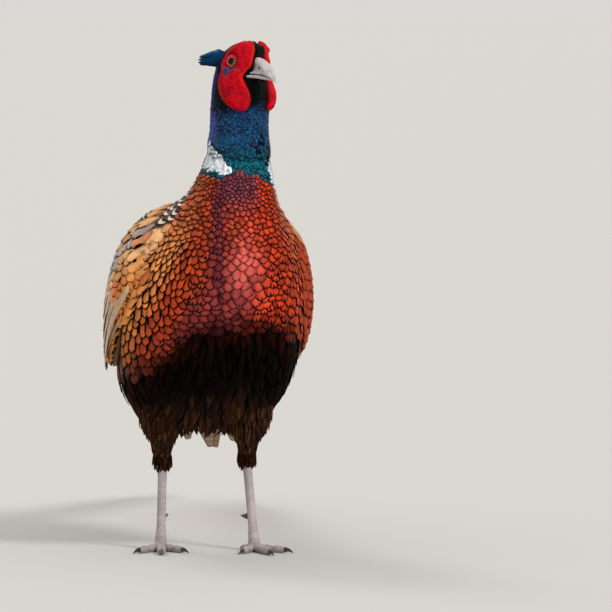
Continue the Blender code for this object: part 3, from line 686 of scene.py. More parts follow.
def closed_object(name, *skins):
    """One object of closed skins, facing out."""
    points, faces, count = [], [], 0
    for places, sides in skins:
        places = np.asarray(places)
        corners = [[c for i, c in enumerate(f) if c != f[i - 1]] for f in sides]
        first = [f[:3] for f in corners] + [[f[0], f[2], f[3]] for f in corners if len(f) == 4]
        tri = places[np.array(first)]
        solid = np.einsum("ij,ij->i", tri[:, 0], np.cross(tri[:, 1], tri[:, 2])).sum()
        faces += [[c + count for c in (f[::-1] if solid < 0 else f)] for f in corners]
        points.append(places)
        count += len(places)
    mesh = bpy.data.meshes.new(name)
    mesh.from_pydata(to_row(np.vstack(points)).tolist(), [], faces)
    mesh.update()
    mesh.shade_smooth()
    return linked(name, mesh)


def remeshed(made, voxel, smoothing):
    """The object with its skins joined into one even surface and settled."""
    step = made.modifiers.new("join", "REMESH")
    step.mode = "VOXEL"
    step.voxel_size = voxel * MM
    settle = made.modifiers.new("settle", "SMOOTH")
    settle.factor = 0.5
    settle.iterations = smoothing
    graph = bpy.context.evaluated_depsgraph_get()
    mesh = bpy.data.meshes.new_from_object(made.evaluated_get(graph))
    made.modifiers.clear()
    made.data = mesh
    mesh.shade_smooth()
    return made


def vertices_of(made):
    """The object's points in millimetres in the drawing's frame, and their normals."""
    places, normals = np.empty((2, len(made.data.vertices) * 3), np.float32)
    made.data.vertices.foreach_get("co", places)
    made.data.vertex_normals.foreach_get("vector", normals)
    return places.reshape(-1, 3) / MM + AWAY, normals.reshape(-1, 3).astype(float)


def move_vertices(made, points):
    made.data.vertices.foreach_set("co", to_row(points).astype(np.float32).ravel())
    made.data.update()


# Materials

class Value:
    """A value that nodes work out. Sums with it add the nodes for them."""

    def __init__(self, web, socket):
        self.web = web
        self.socket = socket

    def __add__(self, other):
        return self.web.math("ADD", self, other)

    def __sub__(self, other):
        return self.web.math("SUBTRACT", self, other)

    def __rsub__(self, other):
        return self.web.math("SUBTRACT", other, self)

    def __mul__(self, other):
        return self.web.math("MULTIPLY", self, other)

    def __pow__(self, other):
        return self.web.math("POWER", self, other)

    def ramp(self, low, high):
        """0 at low, 1 at high, smoothly between them."""
        inputs = {"Value": self, "From Min": low, "From Max": high}
        return self.web.node("ShaderNodeMapRange", inputs, interpolation_type="SMOOTHSTEP")[0]


class Web:
    """A material's nodes, with short ways to add and join them."""

    def __init__(self, name, roughness, metallic=0.0, sheen=0.0, specular=0.5):
        self.material = bpy.data.materials.new(name)
        self.material.use_nodes = True
        self.tree = self.material.node_tree
        self.inputs = self.tree.nodes["Principled BSDF"].inputs
        for socket, value in (("Roughness", roughness), ("Metallic", metallic), ("Sheen Weight", sheen),
                              ("Specular IOR Level", specular)):
            self.inputs[socket].default_value = value

    def node(self, kind, inputs=(), **settings):
        """The outputs of a new node."""
        made = self.tree.nodes.new(kind)
        for name, value in settings.items():
            setattr(made, name, value)
        for socket, value in dict(inputs).items():
            self.join(value, made.inputs[socket])
        return [Value(self, socket) for socket in made.outputs]

    def join(self, value, socket):
        if isinstance(value, Value):
            self.tree.links.new(value.socket, socket)
        elif socket.type == "RGBA":
            socket.default_value = (*value[:3], 1)
        else:
            socket.default_value = value

    def math(self, operation, a, b=0.0):
        return self.node("ShaderNodeMath", {0: a, 1: b}, operation=operation)[0]

    def mix(self, share, a, b):
        return self.node("ShaderNodeMix", {0: share, 6: a, 7: b}, data_type="RGBA")[2]

    def vane(self):
        """Across a vane from its rib, 0 to 1, and along it, 0 to 1."""
        places = self.node("ShaderNodeUVMap", uv_map="Vane")[0]
        across, along, _ = self.node("ShaderNodeSeparateXYZ", {0: places})
        return self.math("ABSOLUTE", across - 0.5) * 2.0, along

    def attribute(self, name):
        return self.node("ShaderNodeAttribute", attribute_name=name)[0]

    def marks(self):
        """The three marks of a place."""
        return self.node("ShaderNodeSeparateColor", {0: self.attribute("marks")})

    def place(self):
        """A point of the piece in metres, which is the fourth output of its node."""
        return self.node("ShaderNodeTexCoord")[3]

    def noise(self, scale, detail=3.0):
        return self.node("ShaderNodeTexNoise", {"Vector": self.place(), "Scale": scale, "Detail": detail})[0]

    def cells(self, scale):
        return self.node("ShaderNodeTexVoronoi", {"Vector": self.place(), "Scale": scale})[0]

    def bump(self, height, strength, distance):
        inputs = {"Height": height, "Strength": strength, "Distance": distance * MM}
        self.join(self.node("ShaderNodeBump", inputs)[0], self.inputs["Normal"])

    def glow(self, weight, reach):
        """Lets light into the surface, each of its colours as deep as its reach in metres."""
        self.inputs["Subsurface Weight"].default_value = weight
        self.inputs["Subsurface Radius"].default_value = reach

    def shaded(self, base, amount):
        """A colour made darker in small patches."""
        spots = self.noise(160.0).ramp(0.3, 0.7)
        return self.mix(spots, self.mix(amount, base, (0, 0, 0)), base)

    def finish(self, base):
        self.join(base, self.inputs["Base Color"])
        return self.material


WHOLE_TURN = 6.2832
RIB_BROWN = (0.16, 0.10, 0.06)


def barbs(web, across, along, rows):
    """The height of the barbs, which run outwards and towards the tip."""
    slant = along * rows - across * (rows * 0.35)
    wave = web.math("SINE", slant * WHOLE_TURN)
    rib = 1.0 - across.ramp(0.02, 0.12)
    return wave * 0.5 + rib * 1.2


def scale_feather(name, ink, roughness, metallic, specular=0.08):
    """A small body feather. Its marks say how much ink lies on its rim, in a tip notch and at its sides."""
    web = Web(name, roughness, metallic, specular=specular)
    across, along = web.vane()
    edge_mark, wedge_mark, side_mark = web.marks()
    tip = (along + across ** 2.0 * 0.16).ramp(1.07 - edge_mark, 1.07)
    flank = across.ramp(1.0 - edge_mark, 1.0) * along.ramp(0.62, 0.86)
    edge = web.math("MAXIMUM", flank, tip).ramp(0.25, 0.75)
    reach = along - (1.0 - wedge_mark * 0.4)
    wedge = (reach - across * 0.6).ramp(0.0, 0.05) * wedge_mark.ramp(0.02, 0.1)
    lens = along.ramp(0.48, 0.66) * (1.0 - along.ramp(0.8, 0.93))
    side = (across - (1.0 - lens * side_mark)).ramp(0.0, 0.06) * side_mark.ramp(0.02, 0.1)
    inked = web.math("MAXIMUM", web.math("MAXIMUM", edge, wedge), side)
    web.bump(barbs(web, across, along, 16.0), 0.3, 0.2)
    return web.finish(web.mix(inked, web.shaded(web.attribute("tint"), 0.25), ink))


def chevron_feather(name, ink, pale):
    """A mantle feather: a buff heart inside black, cream and black chevrons."""
    web = Web(name, 0.6, specular=0.2)
    across, along = web.vane()
    level = across ** 2.6 * 0.4 + along
    base = web.shaded(web.attribute("tint"), 0.25)
    for low, high, tint in ((0.62, 0.76, ink), (0.76, 0.89, pale), (0.89, 1.04, ink)):
        band = level.ramp(low - 0.02, low + 0.02) * (1.0 - level.ramp(high - 0.02, high + 0.02))
        base = web.mix(band, base, tint)
    web.bump(barbs(web, across, along, 18.0), 0.35, 0.25)
    return web.finish(base)


def barred_feather(name, ink, edge_colour, bars, bar_share, fringe, bar_strength):
    """A flight or tail feather with bars and a coloured fringe. Its first mark is its length in dm."""
    web = Web(name, 0.55, 0.0, 0.1, 0.25)
    across, along = web.vane()
    length = web.marks()[0]
    phase = web.math("FRACT", along * length * bars + web.noise(70.0) * 0.35 + across * 0.22)
    bar = phase.ramp(0.0, 0.07) * (1.0 - phase.ramp(bar_share, bar_share + 0.07))
    bar = bar * (1.0 - across.ramp(fringe - 0.12, fringe))
    base = web.shaded(web.attribute("tint"), 0.3)
    base = web.mix(across.ramp(fringe - 0.1, fringe + 0.1), base, edge_colour)
    base = web.mix(bar * bar_strength, base, ink)
    rib = 1.0 - across.ramp(0.03, 0.07)
    base = web.mix(rib * 0.6, base, RIB_BROWN)
    web.bump(barbs(web, across, along * length, 60.0), 0.3, 0.3)
    return web.finish(base)


# Roots of feathers

def random_source(extra):
    return np.random.default_rng(bpy.context.scene.coat.seed * 100 + extra)


def spread_roots(surface, a_range, b_range, spacing, rounds, extra, wrap=0.0):
    """Places on a surface, about as far apart as spacing says, and nearly even."""
    random = random_source(extra)
    a_grid, b_grid = np.meshgrid(np.linspace(*a_range, 160), np.linspace(*b_range, 200), indexing="ij")
    cell_a, cell_b = (a_range[1] - a_range[0]) / 159, (b_range[1] - b_range[0]) / 199
    _, along_a, along_b, _ = derivatives(surface, a_grid, b_grid, cell_a / 4, cell_b / 4)
    area = norm(np.cross(along_a, along_b)) * cell_a * cell_b
    wanted = (area / (0.9 * spacing(a_grid, b_grid) ** 2)).ravel()
    count = int(wanted.sum())
    picked = random.choice(len(wanted), count, p=wanted / wanted.sum())
    a = a_grid.ravel()[picked] + random.uniform(-0.5, 0.5, count) * cell_a
    b = b_grid.ravel()[picked] + random.uniform(-0.5, 0.5, count) * cell_b
    for _ in range(rounds):
        a, b = np.clip(a, *a_range), (((b + wrap) % (2 * wrap)) - wrap if wrap else np.clip(b, *b_range))
        point, along_a, along_b, _ = derivatives(surface, a, b, cell_a / 4, cell_b / 4)
        push = crowding(point, spacing(a, b))
        move_a, move_b = per_mm(along_a, along_b, push)
        a, b = a + move_a, b + move_b
    return np.clip(a, *a_range), b


def crowding(points, spacing):
    """How far each point is pushed away from those that are nearer than the spacing."""
    tree = tree_of(points)
    near = np.array([[found[1] for found in tree.find_n(point, 8)] for point in points])
    apart = points[:, None] - points[near]
    distance = norm(apart)
    wanted = (spacing * 1.1)[:, None]
    force = np.where(distance > 1e-6, np.clip(wanted - distance, 0, None), 0)
    return 0.36 * (unit(apart) * force[..., None]).sum(1)


DOWN_FLANK = np.array([0, -0.35, -1])
ROOT_SPACING = ((1.5, 7), (3, 7.5), (5, 8.2), (6.5, 8.2), (8, 7.3), (9.5, 6.1), (10.8, 4.8), (11.3, 3.6),
                (12, 3.0), (14, 2.6))


def trunk_spacing(station, share):
    """The distance between feather roots on the trunk and the neck."""
    reach = np.abs(share)
    back = smooth(reach, 0.55, 0.8) * smooth(station, 4, 6) * falling(station, 10, 11.5)
    flank = smooth(reach, 0.2, 0.3) * falling(reach, 0.52, 0.6) * smooth(station, 4.2, 5)
    flank = flank * falling(station, 8.4, 9)
    mantle = smooth(reach, 0.54, 0.6) * smooth(station, 8.4, 8.8) * falling(station, 10, 10.6)
    rosy = bell((share, 0.05, 0.09), (station, 9.5, 0.6))
    return on_line(ROOT_SPACING, station) * (1 + 0.15 * back + 0.28 * flank + 0.6 * mantle + 0.28 * rosy)


def wing_cover(station, share):
    """Whether the folded wing hides the trunk."""
    angle = np.abs(angle_of(station, share))
    low, high, _ = columns_at(WING_PAD, station)
    return (angle > low + 5) & (angle < high - 6) & (station > 3.6) & (station < 8.2)


def trunk_way(station, share, along_station):
    """The way that the feathers lie: towards the tail, and down and a little forwards on the flanks."""
    angle = np.abs(angle_of(station, share))
    flank = smooth(angle, 25, 55) * falling(angle, 95, 125) * smooth(station, 4.0, 5.5)
    flank = flank * falling(station, 8.6, 10)
    return unit(-unit(along_station) + DOWN_FLANK * (1.5 * flank)[..., None])


# Body colours

NECK_LINE = ((-180, 330), (-79, 327), (-43, 323.5), (-16, 327), (0, 329.5), (17, 327), (37, 323), (59, 318),
             (90, 314), (180, 330))
BELLY_LINE = ((-0.5, 138), (-0.37, 150), (-0.28, 151), (-0.22, 162), (-0.18, 181), (-0.13, 189),
              (-0.08, 192), (0, 195), (0.09, 192), (0.17, 198), (0.24, 194), (0.32, 182), (0.4, 160),
              (0.5, 142))
MIDLINE = ((196, -0.03), (206, -0.05), (240, -0.09), (274, -0.145), (307, -0.19))
COLLARS = (                # outlines of the white patches, as angle and height
    ((-84, 355), (-58, 351), (-36, 344), (-27, 337), (-15, 330), (-26, 328.5), (-60, 329.5), (-106, 334),
     (-100, 345)),
    ((104, 342), (76, 339), (60, 337), (56, 332), (62, 322), (74, 317), (96, 318), (118, 324), (111, 335)),
)
NECK_SHADE = ((22, 360), (60, 366), (75, 345), (60, 330), (40, 336), (22, 350))


def on_line(line, at):
    places, values = np.array(line, float).T
    return np.interp(at, places, values)


def inside_outline(outline, x, y):
    """Whether places lie inside an outline of straight sides."""
    found = np.zeros(len(x), bool)
    corners = np.array(outline, float)
    for (x0, y0), (x1, y1) in zip(corners, np.roll(corners, -1, axis=0)):
        crosses = (y0 > y) != (y1 > y)
        found ^= crosses & (x < x0 + (y - y0) * (x1 - x0) / (y1 - y0 if y1 != y0 else 1))
    return found


def breast_colours(c, seen, random):
    """The tint of each feather on breast and flank, and its marks: rim, notch and sides."""
    station, share, z = seen.station, seen.share, seen.point[:, 2]
    reach, count = np.abs(share), len(share)
    # Scarlet on the bird's left side and copper on its right: partly the breast's own colours, partly painted
    # light, as the light falls on the left side.
    left = smooth(share, -0.02, 0.10) * (1 - 0.55 * smooth(share, 0.2, 0.32))
    base = mixed(c.copper, c.scarlet, np.clip(left + 0.2, 0, 1) * 0.9)
    amber = 0.9 * smooth(-share, 0.27, 0.42) * (1 - 0.75 * smooth(z, 255, 300))
    base = mixed(base, c.orange, np.clip(amber + 0.2 * smooth(share, 0.34, 0.48), 0, 1))
    # Painted sheen: the rose pink on the middle of the breast stands in for the gloss of its feathers.
    rosy = bell((share, 0.03, 0.10), (z, 248, 30))
    base = mixed(base, c.rose, np.clip(rosy * 1.1, 0, 0.95))
    band = 0.8 * bell((share, on_line(MIDLINE, z), 0.06))
    # Painted highlight: the lower breast just left of the middle is made up to half as bright again, where the
    # light falls on it.
    base = base * (1 + 0.5 * bell((share, 0.17, 0.07), (z, 216, 16)))[:, None]
    high = smooth(z, 284, 318) * falling(np.abs(share + 0.04), 0.12, 0.24)
    low = falling(z, 212, 246) * falling(np.abs(share + 0.06), 0.10, 0.19)
    base = mixed(base, c.mauve, high * 0.9)
    purple = np.clip(np.maximum(band, low * 0.65), 0, 1)
    base = mixed(base, c.maroon, purple)
    above = z - on_line(BELLY_LINE, share)
    depth = 24 + 16 * smooth(-share, 0.16, 0.28) + 12 * smooth(share, 0.22, 0.32)
    base = mixed(base, c.maroon, random.uniform(0, 0.45, count) ** 1.5)
    base = base * (0.02 + 0.98 * smooth(above + random.normal(0, 3, count), -6, depth))[:, None]
    base = base * random.uniform(0.72, 1.3, count)[:, None]
    calm = np.clip(rosy * 1.3, 0, 1)
    edge = 0.24 * (1 - 0.6 * calm) * (1 - 0.4 * purple)
    notch = np.interp(reach, (0.0, 0.12, 0.3), (0.40, 0.55, 0.65)) * (1 - 0.5 * calm)
    notch = notch * random.uniform(0.6, 1.2, count)
    side = np.clip(smooth(-share, 0.19, 0.27) * falling(z, 262, 290) + smooth(share, 0.27, 0.36), 0, 1)
    notch = notch * (1 - 0.75 * side)
    buff = smooth(-seen.angle, 90, 97) * smooth(station, 7.9, 8.2) * falling(station, 9.0, 9.3)
    base = mixed(base, c.buff * 1.1, buff)
    return base, edge * (1 - buff), notch * (1 - buff), side * 0.45 * (1 - buff)


class Seen(NamedTuple):
    """Where the visible part of each trunk feather lies."""

    station: np.ndarray
    share: np.ndarray
    angle: np.ndarray
    point: np.ndarray


def seen_places(station, share, way, spacing):
    """The places of the feathers' visible ends, for the colours there."""
    _, along_station, along_share, normal = derivatives(trunk, station, share)
    flat = unit(way - normal * dot(way, normal)[..., None])
    run_station, run_share = per_mm(along_station, along_share, flat)
    reach = spacing * 2.0
    station = np.clip(station + run_station * reach, 0.4, 14)
    share = (share + run_share * reach + 1) % 2 - 1
    return Seen(station, share, angle_of(station, share), trunk(station, share, 0))


def region_of(station, share, seen):
    """The name of the piece that each trunk feather belongs to."""
    reach, angle = np.abs(share), np.abs(angle_of(station, share))
    z = seen.point[:, 2]
    names = np.full(len(share), "breast", dtype=object)
    names[(np.abs(seen.share) > 0.25) & (seen.station < 8.9) & (z < 285)] = "flank"
    under = (z < on_line(BELLY_LINE, seen.share)) & (np.abs(seen.share) < 0.52)
    names[under | ((seen.station < 4.2) & (reach < 0.55))] = "belly"
    mantle = angle > np.interp(station, (8.4, 8.9, 10.0, 10.5), (116, 101, 101, 116)) + 12 * (share > 0)
    names[mantle & (station > 6.3) & (station < 10.6) & ((z > 278) | (angle > 124))] = "mantle"
    names[(angle > 112) & (station <= 6.3)] = "rump"
    names[(z > on_line(NECK_LINE, seen.angle)) & (seen.station > 10.9)] = "neck"
    return names


def lay_trunk_coat(materials):
    """The whole coat of trunk and neck, as one piece for each region."""
    random = random_source(1)
    station, share = spread_roots(trunk, (1.35, 13.6), (-1.0, 1.0), trunk_spacing, 14, 2, wrap=1.0)
    hidden = wing_cover(station, share) | (station > 13.45)
    station, share = station[~hidden], share[~hidden]
    _, along_station, _, normal = derivatives(trunk, station, share)
    way = trunk_way(station, share, along_station)
    way = unit(way + np.cross(normal, way) * random.normal(0, 0.06, len(way))[:, None])
    spacing = trunk_spacing(station, share) * random.uniform(0.92, 1.08, len(station))
    seen = seen_places(station, share, way, spacing)
    names = region_of(station, share, seen)
    for name in ("breast", "flank", "belly", "mantle", "rump", "neck"):
        chosen = names == name
        part = Seen(*(values[chosen] for values in seen))
        own = (values[chosen] for values in (station, share, way, spacing))
        lay_region(name, *own, part, materials[name], random)


def lay_region(name, station, share, way, spacing, seen, material, random):
    """The feathers of one region of the trunk."""
    settings, c, count = bpy.context.scene.coat, plumage_colours(), len(station)
    length, half_width, outline, camber = spacing * 2.7, spacing * 0.84, ROUND, spacing * 0.035
    high = 0.5 + random.uniform(-0.25, 0.25, count)
    edge, wedge, side = 0, 0, 0
    if name in ("breast", "flank"):
        base, edge, wedge, side = breast_colours(c, seen, random)
        tip = base * 1.15
        slim = np.clip(side / 0.45, 0, 1)
        length, half_width = spacing * 2.6, spacing * (0.84 - 0.3 * slim)
    elif name == "belly":
        base, tip = belly_colours(c, seen, random)
        foot = falling(seen.point[:, 2], 108, 135)
        length, outline = spacing * random.uniform(2.8, 4.2, count), POINTED
        half_width = spacing * (0.46 - 0.24 * foot)
        way = unit(way + random.normal(0, 0.10, (count, 3)) * (1 + foot)[:, None])
        high = high + random.uniform(0, 0.6, count) + foot * random.uniform(1, 8, count)
    elif name == "mantle":
        base = mixed(c.orange, c.buff, random.uniform(0.1, 0.7, count))
        base = mixed(base, c.ink * 2, 0.75 * falling(np.abs(seen.angle), 112, 124))
        tip = mixed(base, c.copper, 0.3)
        length, half_width = spacing * 2.2, spacing * 0.78
    elif name == "rump":
        base = mixed(c.rump, c.maroon, smooth(station, 2, 5.5) * 0.5)
        base = base * random.uniform(0.75, 1.2, count)[:, None]
        tip, edge = base * 1.25, 0.1
        length, half_width, outline = spacing * 3.4, spacing * 0.62, POINTED
    else:
        base, tip, edge = neck_colours(c, seen.point, seen.angle, random)
        length, half_width, camber = spacing * 2.5, spacing * 1.2, spacing * 0.02
        high = 0.1 + random.uniform(-0.2, 0.2, count) - 2.0 * smooth(station, 11.9, 12.8)
    depth = np.interp(station, (10.5, 12), (settings.body_depth, settings.neck_depth))
    places = laid_vanes(trunk, station, share, way, length, half_width, (-depth, high), camber, outline)
    roots = (share * 0.48 + 0.5, station / 15 + 0.02)
    slot = "neck_plumage" if name == "neck" else "body_plumage"
    coat = Coat().add(places, outline, roots, base * 0.8, tip, (edge, wedge, side))
    coat.make(f"{name}_feathers", material, slot)


def belly_colours(c, seen, random):
    """Nearly black, with a few soft brown streaks, and dark red where the breast ends."""
    count, z = len(seen.share), seen.point[:, 2]
    base = c.belly * random.uniform(0.4, 1.6, count)[:, None]
    below = on_line(BELLY_LINE, seen.share) - z
    warm = falling(below, 0, 16) * (seen.station > 5) * falling(seen.share, 0.25, 0.35)
    base = mixed(base, c.copper * 0.05, warm * random.uniform(0.2, 1.0, count))
    low = falling(z, 105, 150)
    down = bell((seen.point[:, 0], 18, 10), (z, 128, 18))
    streak = (random.random(count) < 0.35 * low + 0.5 * down) * random.uniform(0.1, 0.6, count)
    base = mixed(base, c.thigh, np.clip(low * 0.8 + down * 0.5, 0, 1))
    base = mixed(base, c.streak, streak * (0.5 + 0.15 * down))
    return base, base * 1.3


def neck_colours(c, point, angle, random):
    """Violet above, then blue, then green down to the collar, with brown flecks and the white patches."""
    count = len(point)
    z = point[:, 2] + random.normal(0, 1.6, count)
    base = mixed(c.neck_green, c.neck_blue, smooth(z, 338, 360))
    violet = smooth(z, 362, 396) * 0.15 + 0.9 * smooth(-angle, 44, 74) * smooth(z, 344, 368)
    violet = violet + 0.5 * smooth(angle, 50, 90) * smooth(z, 352, 372)
    base = mixed(base, c.nape, np.clip(violet, 0, 1))
    # Painted shade: the neck grows darker round its back, to half as bright on the back line.
    base = base * (1 - 0.5 * smooth(np.abs(angle), 112, 160))[:, None]
    fleck = (random.random(count) < 0.06) & (z > 346) | (random.random(count) < 0.02)
    base = np.where(fleck[:, None], mixed(base, c.neck_brown, random.uniform(0.4, 1, count)), base)
    night = inside_outline(NECK_SHADE, angle, z) & (random.random(count) < 0.5)
    base = np.where(night[:, None], c.neck_blue * 0.1, base)
    base = base * random.uniform(0.7, 1.35, count)[:, None]
    jitter = point[:, 2] + random.normal(0, 0.5, count)
    white = inside_outline(COLLARS[0], angle, jitter) | inside_outline(COLLARS[1], angle, jitter)
    base = np.where(white[:, None], c.collar * random.uniform(1.15, 1.25, count)[:, None], base)
    edge = np.where(white, 0.0, 0.30)
    return base, base * np.where(white, 0.8, 1.25)[:, None], edge


# Skin

def thigh_point(leg):
    """A function for points of the feathered part of a leg. Its first value runs up from the hock."""
    shin = leg.hock - leg.knee
    spots = np.array([leg.hip, leg.knee, leg.knee + shin * 0.42, leg.knee + shin * 0.74, leg.hock])

    def surface(rise, angle, lift):
        at = 4 - np.asarray(rise, float)
        run = unit(through(spots, at + 0.05) - through(spots, at - 0.05))
        half_width, half_depth = np.moveaxis(through(THIGH_SIZES, at), -1, 0)
        across = np.array([1.0, 0, 0])
        side = unit(across - run * dot(run, across)[..., None])
        turn = np.radians(angle)
        return (through(spots, at) + side * ((half_width + lift) * np.cos(turn))[..., None]
                + np.cross(run, side) * ((half_depth + lift) * np.sin(turn))[..., None])

    return surface


def skin_parts(settings):
    """The flesh under the coat, as closed skins that run into one another."""
    turns = turns_of(72, 360)
    station = np.linspace(1.6, 13.0, 92)[:, None]
    depth = np.interp(station, (10.5, 12), (settings.body_depth, settings.neck_depth))
    up = np.array([*np.linspace(-34, 17.6, 50), 18.5, 19.2])[:, None]
    shallow = np.interp(up, (-34, -20), (settings.neck_depth, settings.head_depth))
    neck_end = trunk_point(13.0, turns, -settings.neck_depth)
    head_rings = np.concatenate([neck_end[None], head_point(up, turns - HEAD_TURN, -shallow)])
    parts = [capped(trunk_point(station, turns, -depth)), capped(head_rings)]
    rise = np.linspace(4.0, -0.02, 40)[:, None]
    for leg in LEGS.values():
        parts.append(capped(thigh_point(leg)(rise, turns_of(40, 360), -2.2 * np.clip(rise, 0.2, 1))))
    along = np.linspace(0, 58, 24)[:, None]
    half_width, half_depth, up = columns_at(TAIL_CORE, along)
    turn = np.radians(turns_of(48, 360))
    core = on_tail(along, (half_width - 1.5) * np.sin(turn), up - (half_depth - 1.5) * np.cos(turn))
    return [*parts, capped(core)]


def skin_colours(points):
    """Dark skin that repeats the regions of the coat, partly in darker copies of its colours: painted shade
    for the gaps between the feathers.
    """
    c = plumage_colours()
    z, y = points[:, 2], points[:, 1]
    tint = mixed(c.belly, c.copper * 0.45, smooth(z, 180, 215))
    tint = mixed(tint, c.neck_green * 0.5, smooth(z, 318, 326) * falling(y, -60, -40))
    tint = mixed(tint, c.nape * 0.5, smooth(z, 345, 375))
    return mixed(tint, c.throat, smooth(z, 385, 392))


class PHEASANT_OT_skin(Operator):
    """Make the one skin that runs under the coat of trunk, neck, head and thighs"""

    bl_idname = "pheasant.skin"
    bl_label = "Skin"

    def execute(self, context):
        skin = remeshed(closed_object("skin", *skin_parts(context.scene.coat)), VOXEL, 3)
        add_colour(skin, "tint", skin_colours(vertices_of(skin)[0]))
        web = Web("plumed skin", 0.9, specular=0.02)
        web.bump(web.noise(900.0), 0.4, 0.4)
        finish_piece(skin, web.finish(web.shaded(web.attribute("tint"), 0.4)), "body_plumage",
                     "torso", "neck", "head", "thigh_left", "thigh_right")
        return {"FINISHED"}


class PHEASANT_OT_body_coat(Operator):
    """Lay the feathers of breast, flanks, belly, mantle, rump and neck"""

    bl_idname = "pheasant.body_coat"
    bl_label = "Body and neck coat"

    def execute(self, context):
        c = context.scene.plumage
        lay_trunk_coat({
            "breast": scale_feather("breast feathers", c.ink, 0.45, 0.2, 0.04),
            "flank": scale_feather("flank feathers", c.ink, 0.5, 0.1, 0.04),
            "belly": scale_feather("belly feathers", c.ink, 0.8, 0.0, 0.02),
            "mantle": chevron_feather("mantle feathers", c.ink, paint("dcd4cc")),
            "rump": scale_feather("rump feathers", c.ink, 0.55, 0.1),
            "neck": scale_feather("neck feathers", paint("020305"), 0.36, 0.35, 0.05),
        })
        return {"FINISHED"}


# Head

def head_places(points):
    """Height and turn of places near the head, as head_point takes them, and how far forward and left."""
    forward, left, up = np.moveaxis((points - HEAD_CENTRE) @ HEAD.T, -1, 0)
    left = left - CROWN_LEAN * np.maximum(up - 2, 0)
    front, back, half_width = columns_at(HEAD_RINGS, up)
    ahead = forward / np.where(forward > 0, front, -back)
    out = left / (half_width * np.maximum(1 - NAPE_FULLNESS * ahead, 0.2))
    return up, np.degrees(np.arctan2(out, ahead)), forward, left


def on_face(up, turn, margin):
    """Whether a place on the head lies on the bare face, drawn in by a margin in degrees."""
    front, back, _ = columns_at(FACE_RINGS, up)
    front = front + on_line(FACE_SKEW, up) * (turn > 0)
    inside = (np.abs(turn) > front + margin) & (np.abs(turn) < back - margin)
    return inside & (up > FACE_RINGS[0, 0] + 0.5) & (up < FACE_RINGS[-1, 0] - 0.5)


def spread_on_mesh(made, keep, spacing, rounds, extra):
    """Places about that far apart on the part of a mesh that keep() picks, and the normals there."""
    random = random_source(extra)
    points, normals = vertices_of(made)
    kept = keep(points)
    points, normals = points[kept], normals[kept]
    picked = random.random(len(points)) < (VOXEL ** 2) / (0.9 * spacing(points) ** 2)
    places = points[picked] + random.uniform(-0.4, 0.4, (picked.sum(), 3)) * VOXEL
    corners = [tuple(v.co) for v in made.data.vertices]
    tree = BVHTree.FromPolygons(corners, [tuple(p.vertices) for p in made.data.polygons])
    for _ in range(rounds):
        places = places + crowding(places, spacing(places))
        places = np.array([tree.find_nearest(tuple(p))[0] for p in to_row(places)]) / MM + AWAY
    lookup = tree_of(points)
    nearest = [lookup.find(p)[1] for p in places]
    return places, unit(normals[nearest])


def head_way(points, normals):
    """The way that the feathers of the head lie."""
    up, _, forward, _ = head_places(points)
    over = smooth(up, -2, 9)
    rise = smooth(forward, 2, 14) * over
    way = -FORWARD * (0.35 + 0.65 * over)[:, None] - CROWNWARD * (1 - over)[:, None]
    way = way + CROWNWARD * (1.3 * rise)[:, None]
    return unit(way - normals * dot(way, normals)[:, None])


def head_colours(c, points, random):
    """Bronze crown, black forehead and throat, a dark violet nape, and the neck's colours below."""
    up, turn, forward, _ = head_places(points)
    reach, count = np.abs(turn), len(points)
    tint = mixed(c.throat, c.crown, smooth(up, 8, 13) * smooth(-forward, -13, -4))
    tint = mixed(tint, c.nape * 0.42, smooth(reach, 112, 135) * falling(up, 0, 9))
    tint = tint * random.uniform(0.6, 1.5, count)[:, None]
    around = np.degrees(np.arctan2((points[:, 0] - 13.7) / 27, (-84 - points[:, 1]) / 25))
    neck, _, _ = neck_colours(c, points, around, random)
    low = falling(points[:, 2] + random.normal(0, 2.5, count), 374, 392 - 6 * smooth(reach, 60, 100))
    return mixed(tint, neck * 0.8, low)


UPPER_NECK_TOP = 392.0
BILL_ROOT = ((-9, 10), (-6, 6), (-4, 4.0), (3, 3.4))     # height and half width


def head_coat_keep(points):
    """Whether places lie on the feathered part of the head and the upper neck."""
    up, turn, forward, left = head_places(points)
    bill = (forward > 13.5) & (np.abs(left - 1) < on_line(BILL_ROOT, up)) & (up < 3.0) & (up > -13)
    above_neck = points[:, 2] > 346 + (points[:, 1] + 108) * 0.25
    return above_neck & ~on_face(up, turn, 5.0) & ~bill


def head_coat_spacing(points):
    return 1.55 + 1.3 * falling(points[:, 2], 362, 398)


def lay_head_coat(skin, material):
    """Short feathers over the head, but not over bare face, eye or bill."""
    random = random_source(20)
    places, normals = spread_on_mesh(skin, head_coat_keep, head_coat_spacing, 8, 21)
    kept = head_coat_keep(places)
    places, normals = places[kept], normals[kept]
    apart = head_coat_spacing(places) * random.uniform(0.85, 1.15, len(places))
    up, turn, _, _ = head_places(places)
    low = falling(places[:, 2], 362, 392)
    way = head_way(places, normals)
    full = smooth(up, 3, 7) * falling(up, 9, 13) * bell((turn, 42, 16))
    length = apart * (2.6 + 0.3 * (1 - low)) * (1 + 0.5 * full)
    start = places + normals * (1.0 - 1.3 * smooth(places[:, 2], 354, 372))[:, None]
    points = free_vanes(start, way + normals * (0.30 - 0.14 * low + 0.5 * full)[:, None], normals, length,
                        apart * (0.75 + 0.2 * low), -0.03, 0.15, ROUND, 0.18)
    tint = head_colours(plumage_colours(), places + way * (length * 0.7)[:, None], random)
    below = places[:, 2] < UPPER_NECK_TOP
    for name, slot, part in (("head", "head_plumage", ~below), ("upper_neck", "neck_plumage", below)):
        roots = (turn[part] / 380 + 0.5, (up[part] + 70) / 95)
        marks = (0.14 + 0.14 * low[part], 0, 0)
        coat = Coat().add(points[part], ROUND, roots, tint[part] * 0.8, tint[part] * 1.2, marks)
        coat.make(f"{name}_feathers", material, slot)


